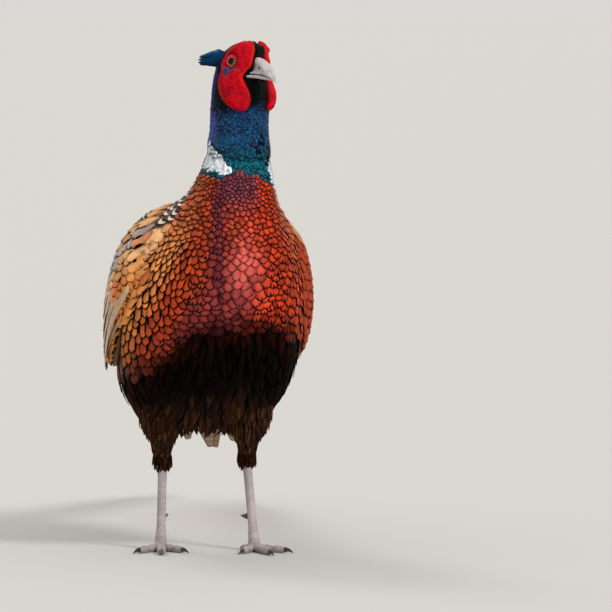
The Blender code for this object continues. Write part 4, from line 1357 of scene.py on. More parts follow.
class PHEASANT_OT_head_coat(Operator):
    """Lay the short feathers of crown, forehead, throat and nape"""

    bl_idname = "pheasant.head_coat"
    bl_label = "Head coat"

    def execute(self, context):
        material = scale_feather("head feathers", paint("020304"), 0.42, 0.2, 0.05)
        lay_head_coat(bpy.data.objects["skin"], material)
        return {"FINISHED"}


# Bare face

def face_rise(up, share):
    """The folds and the rim of the bare skin at a height and a share of the way from front to back."""
    fold = 1 + 0.10 * np.cos(2 * np.pi * (2.5 * share + 0.015 * up))
    rim = 0.7 * (bell((share, 0.09, 0.045)) + bell((share, 0.91, 0.045)))
    return np.sin(np.pi * (0.02 + 0.96 * share)) ** 0.42 * fold, rim


def face_sheet(sign, rows=190, columns=150):
    """The grid of points over one bare face, with the share of each across it."""
    index = np.linspace(0, len(FACE_RINGS) - 1, rows)
    table = through(FACE_RINGS, index)
    table[:, 1] += on_line(FACE_SKEW, table[:, 0]) * (sign > 0)
    share = np.linspace(0, 1, columns)
    up = np.repeat(table[:, :1], columns, 1)
    turn = table[:, 1:2] + (table[:, 2:3] - table[:, 1:2]) * share
    rise, rim = face_rise(up, share)
    ends = np.sin(np.pi * np.linspace(0.06, 0.94, rows)) ** 0.25
    lift = table[:, 3:4] * rise * ends[:, None] + rim * ends[:, None]
    flat = head_point(up, turn * sign, lift)
    centre, look = eye_centre(sign), eye_frame(sign)[2]
    away = flat - centre
    distance = norm(away - look * dot(away, look)[..., None])
    if sign > 0:
        rise = 5.4 * bell((up, 4, 7)) + 1.8 * bell((up, -23, 7))
        lift = lift + rise * np.sin(np.pi * share) ** 0.5
    lift = lift * smooth(distance, 4.0, 8.8) - 1.6 * falling(distance, 4.6, 7.0)
    return up, turn * sign, lift, distance, share


def grid_normals(points):
    normal = unit(np.cross(np.gradient(points, axis=1), np.gradient(points, axis=0)))
    outward = points - HEAD_CENTRE - CROWNWARD * -8
    return normal * np.sign(np.median(dot(normal, outward)))


def papilla_relief(points, spacing, radius, extra, inside):
    """For each point, how much of a papilla it lies on."""
    random = random_source(extra)
    flat = points.reshape(-1, 3)
    step = norm(np.diff(points, axis=0)).mean() * norm(np.diff(points, axis=1)).mean()
    picked = flat[(random.random(len(flat)) < step / (0.9 * spacing ** 2)) & inside.ravel()]
    for _ in range(4):
        picked = picked + crowding(picked, np.full(len(picked), spacing))
    tree = tree_of(picked)
    distance = np.array([tree.find(p)[2] for p in flat]).reshape(points.shape[:2])
    return np.clip(1 - (distance / radius) ** 2, 0, 1)


def make_face(sign, side, material):
    """One bare face: a sheet with folds, a rim and papillae, closed behind."""
    up, turn, lift, distance, share = face_sheet(sign)
    raised = CROWNWARD * (0.8 * smooth(up, 8, 16.5))[..., None]
    points = head_point(up, turn, lift) + raised
    normals = grid_normals(points)
    inside = (distance > 5.6) & (share > 0.03) & (share < 0.97)
    relief = papilla_relief(points, 1.55, 1.05, 30 + sign, inside)
    groove = 0.5 + 0.5 * np.cos(2 * np.pi * (up / 2.7 + 1.5 * share))
    relief = relief * (1 - 0.9 * groove ** 2 * smooth(share, 0.5, 0.65) * smooth(-up, 19, 24))
    fade = smooth(distance, 5.6, 7.6) * smooth(share, 0.02, 0.08) * smooth(1 - share, 0.02, 0.08)
    points = points + normals * (relief * fade * 0.6)[..., None]
    behind = head_point(up[:, ::-12], turn[:, ::-12], -1.5) + raised[:, ::-12]
    rings = np.concatenate([points, behind], axis=1)
    made = closed_object(f"face_{side}", capped(rings))
    extra = rings.shape[1] - points.shape[1]

    def spread(values):
        whole = np.concatenate([values, np.repeat(values[:, -1:], extra, 1)], axis=1).ravel()
        return np.concatenate([whole, [0.5, 0.5]])

    blue = face_patch(points, sign)
    # rim marks the lower front edge, where the material paints a highlight.
    rim = bell((share, 0.07, 0.06)) * smooth(up, -38, -10)
    # The relief mark gives painted shade in the hollows of the papillae and a painted highlight on their tops.
    marks = (spread(relief), spread(blue), spread(rim))
    finish_piece(made, material, "face_skin", f"wattle_{side}", marks=marks)


def face_patch(points, sign):
    """The blue grey patch of skin below and behind the eye, with a line under the eye."""
    frame = eye_frame(sign)
    away = points - eye_centre(sign)
    back, down = -dot(away, frame[0]), -dot(away, CROWNWARD)
    wide = np.interp(down, (5.5, 8.0, 12.5), (5.0, 4.6, 1.2))
    shape = np.maximum(np.abs(back - 2.6 - 0.12 * down) / wide, np.abs(down - 9.0) / 3.9)
    line = np.abs(down - 7.2 + 0.25 * (back + 5)) / 1.0 + 0.6 * smooth(np.abs(back + 3.0), 4, 6)
    return np.maximum(falling(shape, 0.75, 1.1), 0.8 * falling(line, 0.5, 1.2))


def face_material(c):
    web = Web("bare face", 0.5, specular=0.06)
    web.glow(0.05, (0.0012, 0.0002, 0.0002))
    relief, blue, rim = web.marks()
    base = web.mix(web.noise(210.0, 4.0).ramp(0.40, 0.62), c.face_crimson_and_fold_shade, c.face)
    # Painted shade and highlight: the hollows between the papillae take the fold colour and their tops the
    # bright scarlet.
    base = web.mix(relief.ramp(0.0, 0.45), c.face_crimson_and_fold_shade, base)
    base = web.mix(relief.ramp(0.45, 0.95) * 0.75, base, c.face)
    # Painted highlight: a lighter orange red along the raised front rim.
    base = web.mix(rim * 0.6, base, paint("e4200e"))
    mottled = web.mix(web.cells(520.0).ramp(0.3, 0.55), paint("1c1230"), c.face_blue)
    web.bump(web.noise(1400.0, 2.0), 0.25, 0.3)
    return web.finish(web.mix(blue, base, mottled))


LID_STEPS = np.array([     # share of the way outwards, height over the lid, and how far out its colour is
    (0, -1.0, 0), (0.03, -0.4, 0), (0.08, -0.1, 0), (0.15, -0.05, 0.1), (0.23, -0.2, 0.3),
    (0.31, -0.35, 0.45), (0.4, -0.2, 0.6), (0.52, -0.35, 0.75), (0.64, -0.7, 0.9), (0.8, -1.2, 1),
    (1, -2.0, 1), (1, -3.0, 1), (0.5, -2.4, 1), (0.05, -1.7, 1),
])


def lid_rings(sign):
    """The lids round one eye: a rolled margin that falls to the bare face."""
    centre, (across, rise, look) = eye_centre(sign), eye_frame(sign)
    turns = turns_of(72)
    open_x, open_y = LID_OPENING
    corner = 1 + 0.16 * np.abs(np.cos(turns)) ** 6
    inner = corner / np.sqrt((np.cos(turns) / open_x) ** 2 + (np.sin(turns) / open_y) ** 2)
    t, raise_by = LID_STEPS[:, 0:1], LID_STEPS[:, 1:2]
    reach = inner + (LID_RADIUS - inner) * t
    x = reach * np.cos(turns) + 0.9 * (1 - t)
    y = reach * np.sin(turns) - 0.7 * (1 - t)
    crease = 0.12 * np.sin(turns * 2 + 1) * t
    height = np.sqrt(np.maximum(LID_RADIUS ** 2 + 1.2 - x ** 2 - y ** 2, 0.5)) + raise_by + crease
    return centre + across * x[..., None] + rise * y[..., None] + look * height[..., None]


def make_lids(sign, side, material):
    rings = lid_rings(sign)
    rows, columns = rings.shape[:2]
    faces = grid_faces(rows + 1, columns) % (rows * columns)
    made = closed_object(f"lids_{side}", (rings.reshape(-1, 3), faces.tolist()))
    out = np.repeat(LID_STEPS[:, 2], columns)
    finish_piece(made, material, "face_skin", marks=(out, out, out))


def lid_material(c):
    web = Web("lids", 0.5, specular=0.2)
    out = web.marks()[0]
    base = web.mix(web.noise(500.0).ramp(0.35, 0.65), c.lid, paint("8a5a5c"))
    base = web.mix(out.ramp(0.02, 0.15), base, paint("8a1218"))
    base = web.mix(out.ramp(0.3, 0.7), base, c.face)
    web.bump(web.cells(1500.0), 0.4, 0.2)
    return web.finish(base)


def make_eye(sign, side, material):
    """An eyeball with a fine grid, each point knowing how far it is from the middle of the pupil."""
    centre, (across, rise, look) = eye_centre(sign), eye_frame(sign)
    tilt = np.concatenate([np.linspace(0.004, 1.1, 44), np.linspace(1.16, np.pi - 0.01, 22)])
    turns = turns_of(64)
    swell = EYE_RADIUS + 0.55 * np.exp(-(tilt / 0.42) ** 4)
    reach, height = (swell * np.sin(tilt))[:, None], (swell * np.cos(tilt))[:, None]
    rings = (centre + across * (reach * np.cos(turns))[..., None] + rise * (reach * np.sin(turns))[..., None]
             + look * np.broadcast_to(height, (len(tilt), len(turns)))[..., None])
    made = closed_object(f"eyeball_{side}", capped(rings))
    ring = np.concatenate([np.repeat(tilt, len(turns)), [0, np.pi]]) / np.pi
    spoke = np.concatenate([np.tile(0.5 + 0.5 * np.sin(turns * 22), len(tilt)), [0.5, 0.5]])
    finish_piece(made, material, "iris", f"eye_{side}", marks=(ring, spoke, ring))


def eye_material(c):
    web = Web("eye", 0.05, specular=0.16)
    ring, spoke, _ = web.marks()
    iris = web.mix(spoke * 0.45, c.iris, paint("7a3408"))
    iris = web.mix(ring.ramp(0.14, 0.20), iris, paint("c87a28"))
    base = web.mix(ring.ramp(0.116, 0.124), (0.002, 0.002, 0.003), iris)
    return web.finish(web.mix(ring.ramp(0.195, 0.215), base, paint("160a06")))


# Bill

def bill_rings(table, meets_below, around=48, rows=70):
    """Fine sections of one half of the bill, as the solids have them."""
    index = np.linspace(0, len(table) - 1, rows)
    forward, top, bottom, half_width = np.moveaxis(through(table, index), -1, 0)
    turn = turns_of(around)
    out, rise = np.cos(turn), np.sin(turn)
    power = np.where((rise < 0) == meets_below, 0.3, 0.8)
    slim = np.interp(forward, (12, 18, 31), (0.72, 0.62, 0))[:, None]
    narrow = 1 - slim * smooth(rise, -0.98, 0.1) * meets_below
    left = half_width[:, None] * np.sign(out) * np.abs(out) ** 0.8 * narrow
    middle, half_depth = ((top + bottom) / 2)[:, None], ((top - bottom) / 2)[:, None]
    return on_bill(forward[:, None], left, middle + half_depth * np.sign(rise) * np.abs(rise) ** power)


def on_bill(forward, left, up):
    """A place on the head as the bill has it, which points a little further to the left."""
    return on_head(forward, left + BILL_LEAN * forward, up)


def egg(centre, half_size, axes, rows=16, around=24):
    tilt = np.linspace(0.05, np.pi - 0.05, rows)[:, None]
    turn = turns_of(around)
    local = np.stack([np.sin(tilt) * np.cos(turn), np.sin(tilt) * np.sin(turn), np.cos(tilt) + 0 * turn], -1)
    return capped(centre + (local * half_size) @ axes)


def nostril_axes():
    run = unit(FORWARD * 0.9 - CROWNWARD * 0.45)
    return np.array([run, LEFTWARD, np.cross(run, LEFTWARD)])


def make_bill_half(name, table, meets_below, eggs, material, replaced):
    made = remeshed(closed_object(name, capped(bill_rings(table, meets_below)), *eggs), FINE_VOXEL, 3)
    points, normals = vertices_of(made)
    hollow = np.zeros(len(points))
    if eggs:
        for sign in SIDES.values():
            away = points - on_bill(24.0, sign * 4.6, -4.8)
            local = away @ nostril_axes().T / np.array([2.8, 4.0, 0.7])
            hollow = np.maximum(hollow, np.clip(1 - norm(local), 0, 1))
        points = points - normals * (np.minimum(hollow * 2.2, 1) * 1.0)[:, None]
        move_vertices(made, points)
    forward, _, up = np.moveaxis((points - HEAD_CENTRE) @ HEAD.T, -1, 0)
    growth, height = np.clip((forward - 12) / 28, 0, 1), np.clip((up + 20) / 30, 0, 1)
    finish_piece(made, material, "horn", replaced, marks=(np.minimum(hollow * 3, 1), growth, height))


def bill_material(c):
    web = Web("bill horn", 0.36, specular=0.45)
    web.glow(0.1, (0.001, 0.0007, 0.0005))
    hollow, growth, height = web.marks()
    cream = height.ramp(0.6, 0.8) * (1.0 - growth.ramp(0.3, 0.5))
    base = web.mix(cream, c.horn, paint("d2cac4"))
    base = web.mix(web.noise(150.0, 3.0).ramp(0.48, 0.66) * 0.75, base, c.horn_rose)
    base = web.mix(web.noise(420.0, 2.0).ramp(0.5, 0.7) * 0.3, base, paint("8c8a88"))
    base = web.mix(growth.ramp(0.82, 1.0) * 0.3, base, c.horn_rose)
    # Painted shade: the shallow nostril hollows are coloured nearly black brown.
    base = web.mix(hollow.ramp(0.1, 0.6), base, paint("2c2220"))
    web.bump(web.noise(800.0, 3.0), 0.2, 0.3)
    return web.finish(base)


# Ear tufts

def tuft_axes(sign):
    run = unit(-FORWARD * 0.93 + LEFTWARD * sign * 0.34 - CROWNWARD * 0.07)
    side = unit(LEFTWARD * sign - run * np.dot(LEFTWARD * sign, run))
    rise = np.cross(run, side)
    return run, side, rise * np.sign(np.dot(rise, CROWNWARD))


def make_ear_tuft(sign, side, material):
    """Stiff little feathers fanned back from over the ear, the longest in the middle."""
    random = random_source(40 + sign)
    run, out, rise = tuft_axes(sign)
    root = on_head(TUFT_ROOT[0], TUFT_ROOT[1] * sign, TUFT_ROOT[2])
    count = 96
    level = np.linspace(-0.5, 0.5, count) + random.normal(0, 0.03, count)
    layer = (np.arange(count) % 6) / 5 - 0.5
    way = unit(run + rise * (level * 0.20)[:, None] + out * (layer * 0.10)[:, None])
    start = root + rise * (level * 9.5)[:, None] + out * (layer * 5.0)[:, None] - way * 4.0
    start = start - run * random.uniform(0, 3, count)[:, None]
    length = 28 * (1 - 2.0 * level ** 2) * random.uniform(0.86, 1.04, count)
    points = free_vanes(start, way, np.tile(out, (count, 1)), length, random.uniform(1.5, 2.4, count),
                        random.normal(0, 0.03, count), 0.35, POINTED)
    tint = mixed(np.array(paint("042c58")), np.array(paint("045488")), smooth(level, -0.4, 0.3))
    tint = tint * random.uniform(0.7, 1.3, count)[:, None]
    roots = (0.1 + 0.8 * np.arange(count) / count, 0.3 + layer * 0.3)
    coat = Coat().add(points, POINTED, roots, tint * 0.6, tint, (0.12, 0, 0.3))
    coat.make(f"ear_tuft_feathers_{side}", material, "ear_plumage", f"ear_tuft_{side}")
    base = egg(root - run * 3.5, np.array([5.0, 2.6, 4.4]), np.array([run, out, rise]))
    web = Web("ear root", 0.6)
    made = closed_object(f"ear_root_{side}", base)
    finish_piece(made, web.finish(web.shaded(paint("08131f"), 0.4)), "ear_plumage")


class PHEASANT_OT_head(Operator):
    """Make the bare face, the eyes with their lids, the bill and the ear tufts"""

    bl_idname = "pheasant.head"
    bl_label = "Head"

    def execute(self, context):
        c = context.scene.bare
        face, lid, eye, bill = face_material(c), lid_material(c), eye_material(c), bill_material(c)
        tuft = scale_feather("ear tuft feathers", paint("04070c"), 0.4, 0.3)
        eggs = []
        for side, sign in SIDES.items():
            make_face(sign, side, face)
            make_lids(sign, side, lid)
            make_eye(sign, side, eye)
            make_ear_tuft(sign, side, tuft)
            eggs.append(egg(on_bill(20.0, sign * 2.0, -0.6), np.array([5.2, 2.4, 3.2]), HEAD))
        make_bill_half("bill_above", UPPER_BILL, True, eggs, bill, "bill_upper")
        make_bill_half("bill_below", LOWER_BILL, False, [], bill, "bill_lower")
        return {"FINISHED"}


# Wings

class Row(NamedTuple):
    """A row of long wing feathers. Places are (station, angle), lowest feather first."""

    count: int
    root_low: tuple
    root_high: tuple
    tip_low: tuple
    tip_high: tuple
    half_width: float
    lift: float
    slope: float
    finish: str


WING_ROWS = {
    "primaries": Row(7, (5.3, 90), (5.2, 114), (3.3, 82), (0.75, 110), 7.0, 2.4, 0.12, "primary"),
    "secondaries": Row(9, (6.3, 91), (6.0, 146), (3.0, 91), (1.75, 146), 9.5, 4.6, 0.11, "secondary"),
    "tertials": Row(4, (6.3, 128), (6.2, 154), (2.7, 136), (2.4, 156), 11, 6.4, 0.10, "tertial"),
    "greater_coverts": Row(11, (7.3, 92), (7.3, 136), (4.8, 90), (4.4, 138), 7.4, 7.2, 0.10, "covert"),
    "median_coverts": Row(12, (7.8, 95), (7.8, 136), (6.0, 89), (5.7, 138), 6.4, 8.3, 0.08, "covert"),
}
LONG_VANE = np.array([(0, 0.5), (0.08, 0.75), (0.2, 0.95), (0.35, 1), (0.5, 1), (0.62, 0.99), (0.72, 0.95),
                      (0.8, 0.87), (0.87, 0.75), (0.92, 0.6), (0.96, 0.42), (0.985, 0.26), (1, 0.06)])


def wing_row_points(row, sign, random):
    """The points of one row's feathers, laid along the side of the trunk."""
    share = np.linspace(0, 1, row.count)[:, None, None]
    t, wide, x, z = vane_grid(LONG_VANE, WIDE_RING)
    lower = np.array((0, 8.0 if sign < 0 and row.finish == "covert" else 0))
    root = np.array(row.root_low) - lower + (np.array(row.root_high) - row.root_low + lower) * share
    tip = np.array(row.tip_low) - lower + (np.array(row.tip_high) - row.tip_low + lower) * share
    tip[..., 0] += random.normal(0, 0.04, tip[..., 0].shape)
    start, end = root[..., 0:1], tip[..., 0:1]
    place = share_of(start, root[..., 1:2]), share_of(end, tip[..., 1:2])
    station = start + (end - start) * t + 0 * x
    middle = place[0] + (place[1] - place[0]) * t
    across = wide * x * row.half_width
    sunk = 4.0 * falling(t, 0.0, 0.3)
    lift = row.lift - sunk - across * row.slope - 0.5 * x * x + 0.4 * z
    return trunk(station, (middle + across / np.interp(station, TABLE_STATIONS, HALF_GIRTH)) * sign, lift)


def wing_pad(sign):
    """The fleshy body of the folded wing, a little inside the coverts."""
    stations = np.linspace(3.4, 8.45, 40)
    low, high, thick = columns_at(WING_PAD, stations)
    t = np.linspace(0, 1, 26)
    bulge = np.sin(np.pi * (0.03 + 0.94 * t)) ** 0.35
    rings = []
    for station, first, last, depth in zip(stations, low + 2, high - 2, thick):
        outer = trunk_point(station, (first + (last - first) * t) * sign, (depth - 1.6) * bulge - 0.4)
        inner = trunk_point(station, np.linspace(last, first, 8) * sign, -5.5)
        rings.append(np.concatenate([outer, inner]))
    return capped(rings)


def covert_colours(c, station, angle, random):
    """Orange beside the flank, then buff, with patches of blue grey and chestnut."""
    count = len(station)
    tint = mixed(c.orange, c.buff, smooth(angle, 89, 100) * random.uniform(0.7, 1, count))
    tint = tint * (1 + 0.3 * falling(station, 7.4, 7.9) * smooth(angle, 90, 98))[:, None]
    tint = mixed(tint, c.copper, (random.random(count) > 0.78) * 0.5)
    patch = 0.9 * bell((angle, 114, 10), (station, 7.6, 0.5))
    grey = random.random(count) < 0.4 * (angle > 86) * (angle < 130) * (station < 7.5) + patch
    tint = mixed(tint, c.slate, grey * random.uniform(0.6, 1, count))
    return tint * random.uniform(0.8, 1.15, count)[:, None]


def covert_spacing(station, share):
    return 7.4 + 2.2 * smooth(np.abs(angle_of(station, share)), 128, 140)


def lay_coverts(side, sign, materials, c):
    """The small coverts and the scapulars over the folded wing."""
    random = random_source(60 + sign)
    edges = sorted(share_of(7.0, angle) * sign for angle in (82.0, 166.0))
    station, share = spread_roots(wing_surface, (5.9, 8.55), edges, covert_spacing, 12, 61 + sign)
    apart = covert_spacing(station, share) * random.uniform(0.9, 1.1, len(station))
    angle = np.abs(angle_of(station, share))
    _, along, _, _ = derivatives(wing_surface, station, share)
    way = unit(-unit(along) + np.array([0, 0, -1.0]) * (0.25 * (angle < 130))[:, None])
    clear = (angle <= 131) & ((station > 6.7) | (angle < 98))
    for name, chosen in (("scapulars", angle > 131), ("lesser_coverts", clear)):
        count, size = chosen.sum(), apart[chosen]
        base = covert_colours(c, station[chosen], angle[chosen], random)
        if sign > 0:
            base = mixed(base, c.copper * 0.8, falling(angle[chosen], 104, 118))
        wedge = random.uniform(0.2, 0.6, count) * (random.random(count) < 0.4)
        if name == "scapulars":
            base = mixed(c.buff, c.orange, random.uniform(0, 0.7, count))
        places = laid_vanes(wing_surface, station[chosen], share[chosen], way[chosen], size * 2.8,
                            size * 0.78, (-1.2, 1.5), size * 0.06, ROUND)
        roots = (np.abs(share[chosen]), station[chosen] / 10)
        marks = (0.12, wedge, random.uniform(0.2, 0.5, count))
        coat = Coat().add(places, ROUND, roots, base * 0.75, base * 1.1, marks)
        material = materials["mantle" if name == "scapulars" else "covert"]
        coat.make(f"{name}_{side}", material, "wing_plumage")


def lay_wing(side, sign, materials, c):
    """The long feathers of one folded wing, row over row."""
    random = random_source(70 + sign)
    tints = {"primary": c.tail * 0.32, "secondary": c.tail * 0.5, "tertial": mixed(c.buff, c.tail, 0.5),
             "covert": mixed(c.tail, c.slate, 0.45) * 1.6}
    for name, row in WING_ROWS.items():
        places = wing_row_points(row, sign, random)
        tint = tints[row.finish] * random.uniform(0.85, 1.15, row.count)[:, None]
        marks = (norm(places[:, -1, 2] - places[:, 0, 2]) / 100, 0, 0)
        if row.finish == "covert":
            tint = mixed(tint, c.buff, random.uniform(0, 0.6, row.count))
            marks = (0.08, 0, 0.3)
        roots, patch = ((np.arange(row.count) + 0.5) / row.count, 0.02), (0.9 / row.count, 0.95)
        coat = Coat().add(places, LONG_VANE, roots, tint * 0.9, tint * 1.1, marks, WIDE_RING, patch)
        replaced = [f"wing_{side}"] if name == "primaries" else []
        coat.make(f"{name}_{side}", materials[row.finish], "wing_plumage", *replaced)
    pad = closed_object(f"wing_skin_{side}", wing_pad(sign))
    # Painted shade: the wing's body, seen between the coverts, is a dark copy of their buff.
    web = Web("wing skin", 0.8)
    web.bump(web.noise(900.0), 0.4, 0.4)
    finish_piece(pad, web.finish(web.shaded(c.buff * 0.35, 0.4)), "wing_plumage")


class PHEASANT_OT_wings(Operator):
    """Lay the feathers of both folded wings"""

    bl_idname = "pheasant.wings"
    bl_label = "Wings"

    def execute(self, context):
        c = plumage_colours()
        materials = {
            "primary": barred_feather("primaries", paint("b09468"), paint("a08a66"), 11, 0.28, 0.9, 0.7),
            "secondary": barred_feather("secondaries", paint("a88c64"), paint("9a9486"), 9, 0.3, 0.88, 0.6),
            "tertial": barred_feather("tertials", c.ink, paint("8c5a3c"), 7, 0.12, 0.7, 0.35),
            "covert": scale_feather("wing coverts", c.ink, 0.5, 0.05),
            "mantle": chevron_feather("scapular feathers", c.ink, paint("cdb08a")),
        }
        for side, sign in SIDES.items():
            lay_wing(side, sign, materials, c)
            lay_coverts(side, sign, materials, c)
        return {"FINISHED"}


# Tail

TAIL_VANE = np.array([(t, (0.45 + 0.55 * min(1, t * 3.2)) * (1 - 0.84 * max(0, (t - 0.55) / 0.45) ** 1.3))
                      for t in [*np.linspace(0, 0.97, 34), 0.985, 1.0]])
TAIL_VANE_START = 40.0


def tail_row(lengths, half_widths, inner, level, fan, sign):
    """The points of straight tail feathers on one side, the first nearest the middle."""
    t, wide, x, z = vane_grid(TAIL_VANE, WIDE_RING)
    length, half_width, inner, level, fan = (np.asarray(v, float)[:, None, None] for v in
                                             (lengths, half_widths, inner, level, fan))
    along = TAIL_VANE_START + (length - TAIL_VANE_START) * t
    middle = inner + half_width + (along - TAIL_VANE_START) * np.tan(np.radians(fan))
    place = middle + wide * x * half_width
    return on_tail(along + 0 * x, place * sign, level - TAIL_ROOF * np.abs(place) + 0.42 * z)


class PHEASANT_OT_tail(Operator):
    """Lay the eighteen tail feathers and the coverts at their roots"""

    bl_idname = "pheasant.tail"
    bl_label = "Tail"

    def execute(self, context):
        c, random = plumage_colours(), random_source(80)
        material = barred_feather("tail feathers", c.ink, c.fringe, 5.2, 0.24, 0.62, 0.9)
        count = len(RECTRIX_LENGTHS)
        order = np.arange(count)
        coat = Coat()
        for sign in (1, -1):
            inner = np.where(order == 0, 1 - RECTRIX_HALF_WIDTHS[0], 0.5 + 0.5 * order)
            level = np.where(order == 0, TAIL_TOP - 0.55 * (1 - sign), TAIL_TOP - 1.4 - order)
            fan = np.where(order == 0, 0.15, 0.25 + 0.4 * order)
            lengths = np.array(RECTRIX_LENGTHS) - 3.0 * (1 - sign)
            places = tail_row(lengths, RECTRIX_HALF_WIDTHS, inner, level, fan, sign)
            tint = mixed(c.tail * random.uniform(0.9, 1.1, count)[:, None], c.rump, order / count * 0.6)
            roots = ((order + 0.5 + count * (sign < 0)) / (2 * count), 0.02)
            patch, marks = (0.45 / count, 0.95), (lengths / 100, 0, 0)
            coat.add(places, TAIL_VANE, roots, tint * 0.9, tint * 1.1, marks, WIDE_RING, patch)
        coat.make("tail_feathers", material, "tail_plumage", "tail")
        lay_tail_coverts(c, random)
        return {"FINISHED"}


def tail_core(along, share, lift):
    """The root of the tail, round which its coverts lie."""
    half_width, half_depth, up = columns_at(TAIL_CORE, along)
    turn = np.pi * share
    reach = np.interp(along, (0, 58, 150), (0, 0, 4))
    return on_tail(along, (half_width + lift + reach) * np.sin(turn),
                   up - (half_depth + lift + reach * 0.2) * np.cos(turn))


def lay_tail_coverts(c, random):
    """Soft coverts over and under the roots of the tail feathers."""
    along, share = spread_roots(tail_core, (-4.0, 52.0), (-1.0, 1.0), lambda a, b: 7.0 + 0 * a, 10, 82, 1.0)
    point, _, _, normal = derivatives(tail_core, along, share, 0.5, 0.004)
    count = len(along)
    over = smooth(np.abs(share), 0.35, 0.6)
    way = TAIL[0] + TAIL[1] * (0.10 * np.sin(np.pi * share))[:, None]
    length = mixed(np.full((count, 1), 40.0), 74.0, over)[:, 0] * random.uniform(0.8, 1.2, count)
    points = free_vanes(point, way + normal * 0.10, normal, length, random.uniform(5.0, 6.6, count),
                        -0.10, 1.0, POINTED, 0.35)
    base = mixed(c.thigh * 1.3, mixed(c.rump, c.fringe, 0.3), over)
    base = base * random.uniform(0.75, 1.2, count)[:, None]
    roots = (share * 0.48 + 0.5, (along + 6) / 70)
    coat = Coat().add(points, POINTED, roots, base * 0.8, base * 1.15, (0.05, 0, 0.25))
    coat.make("tail_coverts", scale_feather("tail coverts", paint("1a120c"), 0.6, 0.05), "tail_plumage")


# Legs

def tube_rings(centres, half_width, half_depth, around, across=(1.0, 0, 0)):
    """Rings along a line of centres, each an ellipse square to the run."""
    runs = unit(np.gradient(centres, axis=0))
    side = unit(across - runs * (runs @ across)[:, None])
    turns = turns_of(around)
    return (centres[:, None] + side[:, None] * (half_width[:, None] * np.cos(turns))[..., None]
            + np.cross(runs, side)[:, None] * (half_depth[:, None] * np.sin(turns))[..., None])


UPRIGHT = (0, 0, 1.0)


def plates(along, around_mm, height, width, shift=0.5):
    """How far inside a scale each place lies, on rows of scales: 0 on its edge, 1 well inside."""
    row = along / height
    column = around_mm / width + shift * (np.floor(row) % 2)
    from_row, from_column = 0.5 - np.abs(row % 1 - 0.5), 0.5 - np.abs(column % 1 - 0.5)
    return smooth(np.minimum(from_row * height, from_column * width), 0.0, 0.45)


SCUTE = 4.8
TOE_SCUTE = 2.5


def shank_rings(leg):
    """The bare lower leg, with two rows of large plates in front and small scales behind."""
    run = unit(leg.foot - leg.hock)
    start = leg.hock - run * 3
    length = np.linalg.norm(leg.foot - start)
    t = np.linspace(0, 1.05, 200)
    knuckle = 1.2 * bell((t, 0.03, 0.1)) + 1.0 * bell((t, 0.97, 0.1))
    centres = start + run * (length * t)[:, None]
    rings = tube_rings(centres, 3.75 + knuckle, 4.35 + knuckle, 56)
    out = unit(rings - centres[:, None])
    turns = turns_of(56) - np.pi / 2
    ahead = np.cos(turns) * np.sign(-out[100, 14, 1])
    along, around_mm = (t * length)[:, None], turns * 4.3
    front = plates(along + 1.2 * np.abs(around_mm), around_mm - 2.7, SCUTE, 5.4)
    share = smooth(ahead, -0.1, 0.25)
    scale = front * share + plates(along, around_mm, 1.9, 1.8) * (1 - share)
    slope = 0.28 * share * ((along / SCUTE) % 1 - 0.5)
    return rings + out * (scale * 0.34 + slope - 0.2)[..., None], scale


def toe_rings(leg, toe, sign):
    """One toe, with cross plates on top and round pads below."""
    _, length, radius, _ = toe
    lay = radius * 0.84
    t = np.linspace(0, 1.0, 110)
    centres = leg.foot + toe_way(leg, toe, sign) * (length * t)[:, None]
    centres[:, 2] = lay + (5.2 - lay) * np.maximum(0, 1 - t * 3.2)
    joints = 4 if length > 40 else 3 if length > 20 else 2
    swell = 1.0 + 0.13 * np.cos(2 * np.pi * (t * joints - 0.3)) - 0.12 * t
    end = np.sqrt(np.clip(1 - ((t - 0.93) / 0.075).clip(0, 1) ** 2, 0.03, 1))
    size = radius * swell * end
    rings = tube_rings(centres, size, size, 40, UPRIGHT)
    out = unit(rings - centres[:, None])
    along = (t * length)[:, None] + 0 * out[..., 2]
    turns = turns_of(40) * radius
    share = smooth(out[..., 2], 0.1, 0.4)
    top, below = plates(along, turns + 0.5, TOE_SCUTE, 100.0), plates(along, turns, 1.5, 1.5)
    scale = top * share + below * (1 - share)
    slope = 0.22 * share * ((along / TOE_SCUTE) % 1 - 0.5)
    rings = rings + out * (scale * 0.28 + slope - 0.12)[..., None]
    rings[..., 2] = np.maximum(rings[..., 2], 0.12)
    return rings, scale


def toe_way(leg, toe, sign):
    """The level direction of a toe."""
    turn = math.radians(toe[0] * sign + leg.turn)
    return np.array([math.sin(turn), -math.cos(turn), 0])


def claw_skin(leg, toe, sign):
    """A curved claw that starts at the toe's end and comes down to the floor."""
    _, length, radius, claw = toe
    way = toe_way(leg, toe, sign)
    level = radius * 0.82 + 0.3
    t = np.linspace(-0.12, 1, 40)
    ahead = np.maximum(t, 0)
    centres = leg.foot + way * length + way * (0.35 + claw * t)[:, None]
    centres[:, 2] = level - (level - 0.75) * ahead ** 2 + 0.9 * t * (1 - t)
    round_off = np.sqrt(np.clip(1 - ((t - 0.9) / 0.1).clip(0, 1) ** 2, 0.05, 1))
    size = radius * 0.66 * (1 - 0.8 * ahead) * round_off
    return capped(tube_rings(centres, size, size * 0.8, 24, UPRIGHT))


def spur_skin(leg, sign):
    """The spur on the inner back of the shank."""
    way = unit(np.array([-0.55 * sign, 0.8, -0.15]))
    root = leg.foot - unit(leg.foot - leg.hock) * 22 + way * 3.0
    t = np.linspace(0, 11.4, 30)
    centres = root + way * t[:, None]
    centres[:, 2] += 0.012 * t * t
    size = np.interp(t, (0, 2.5, 5.5, 8.5, 10.8, 11.4), (3.1, 2.8, 2.0, 1.15, 0.4, 0.15))
    return capped(tube_rings(centres, size, size, 24, UPRIGHT))


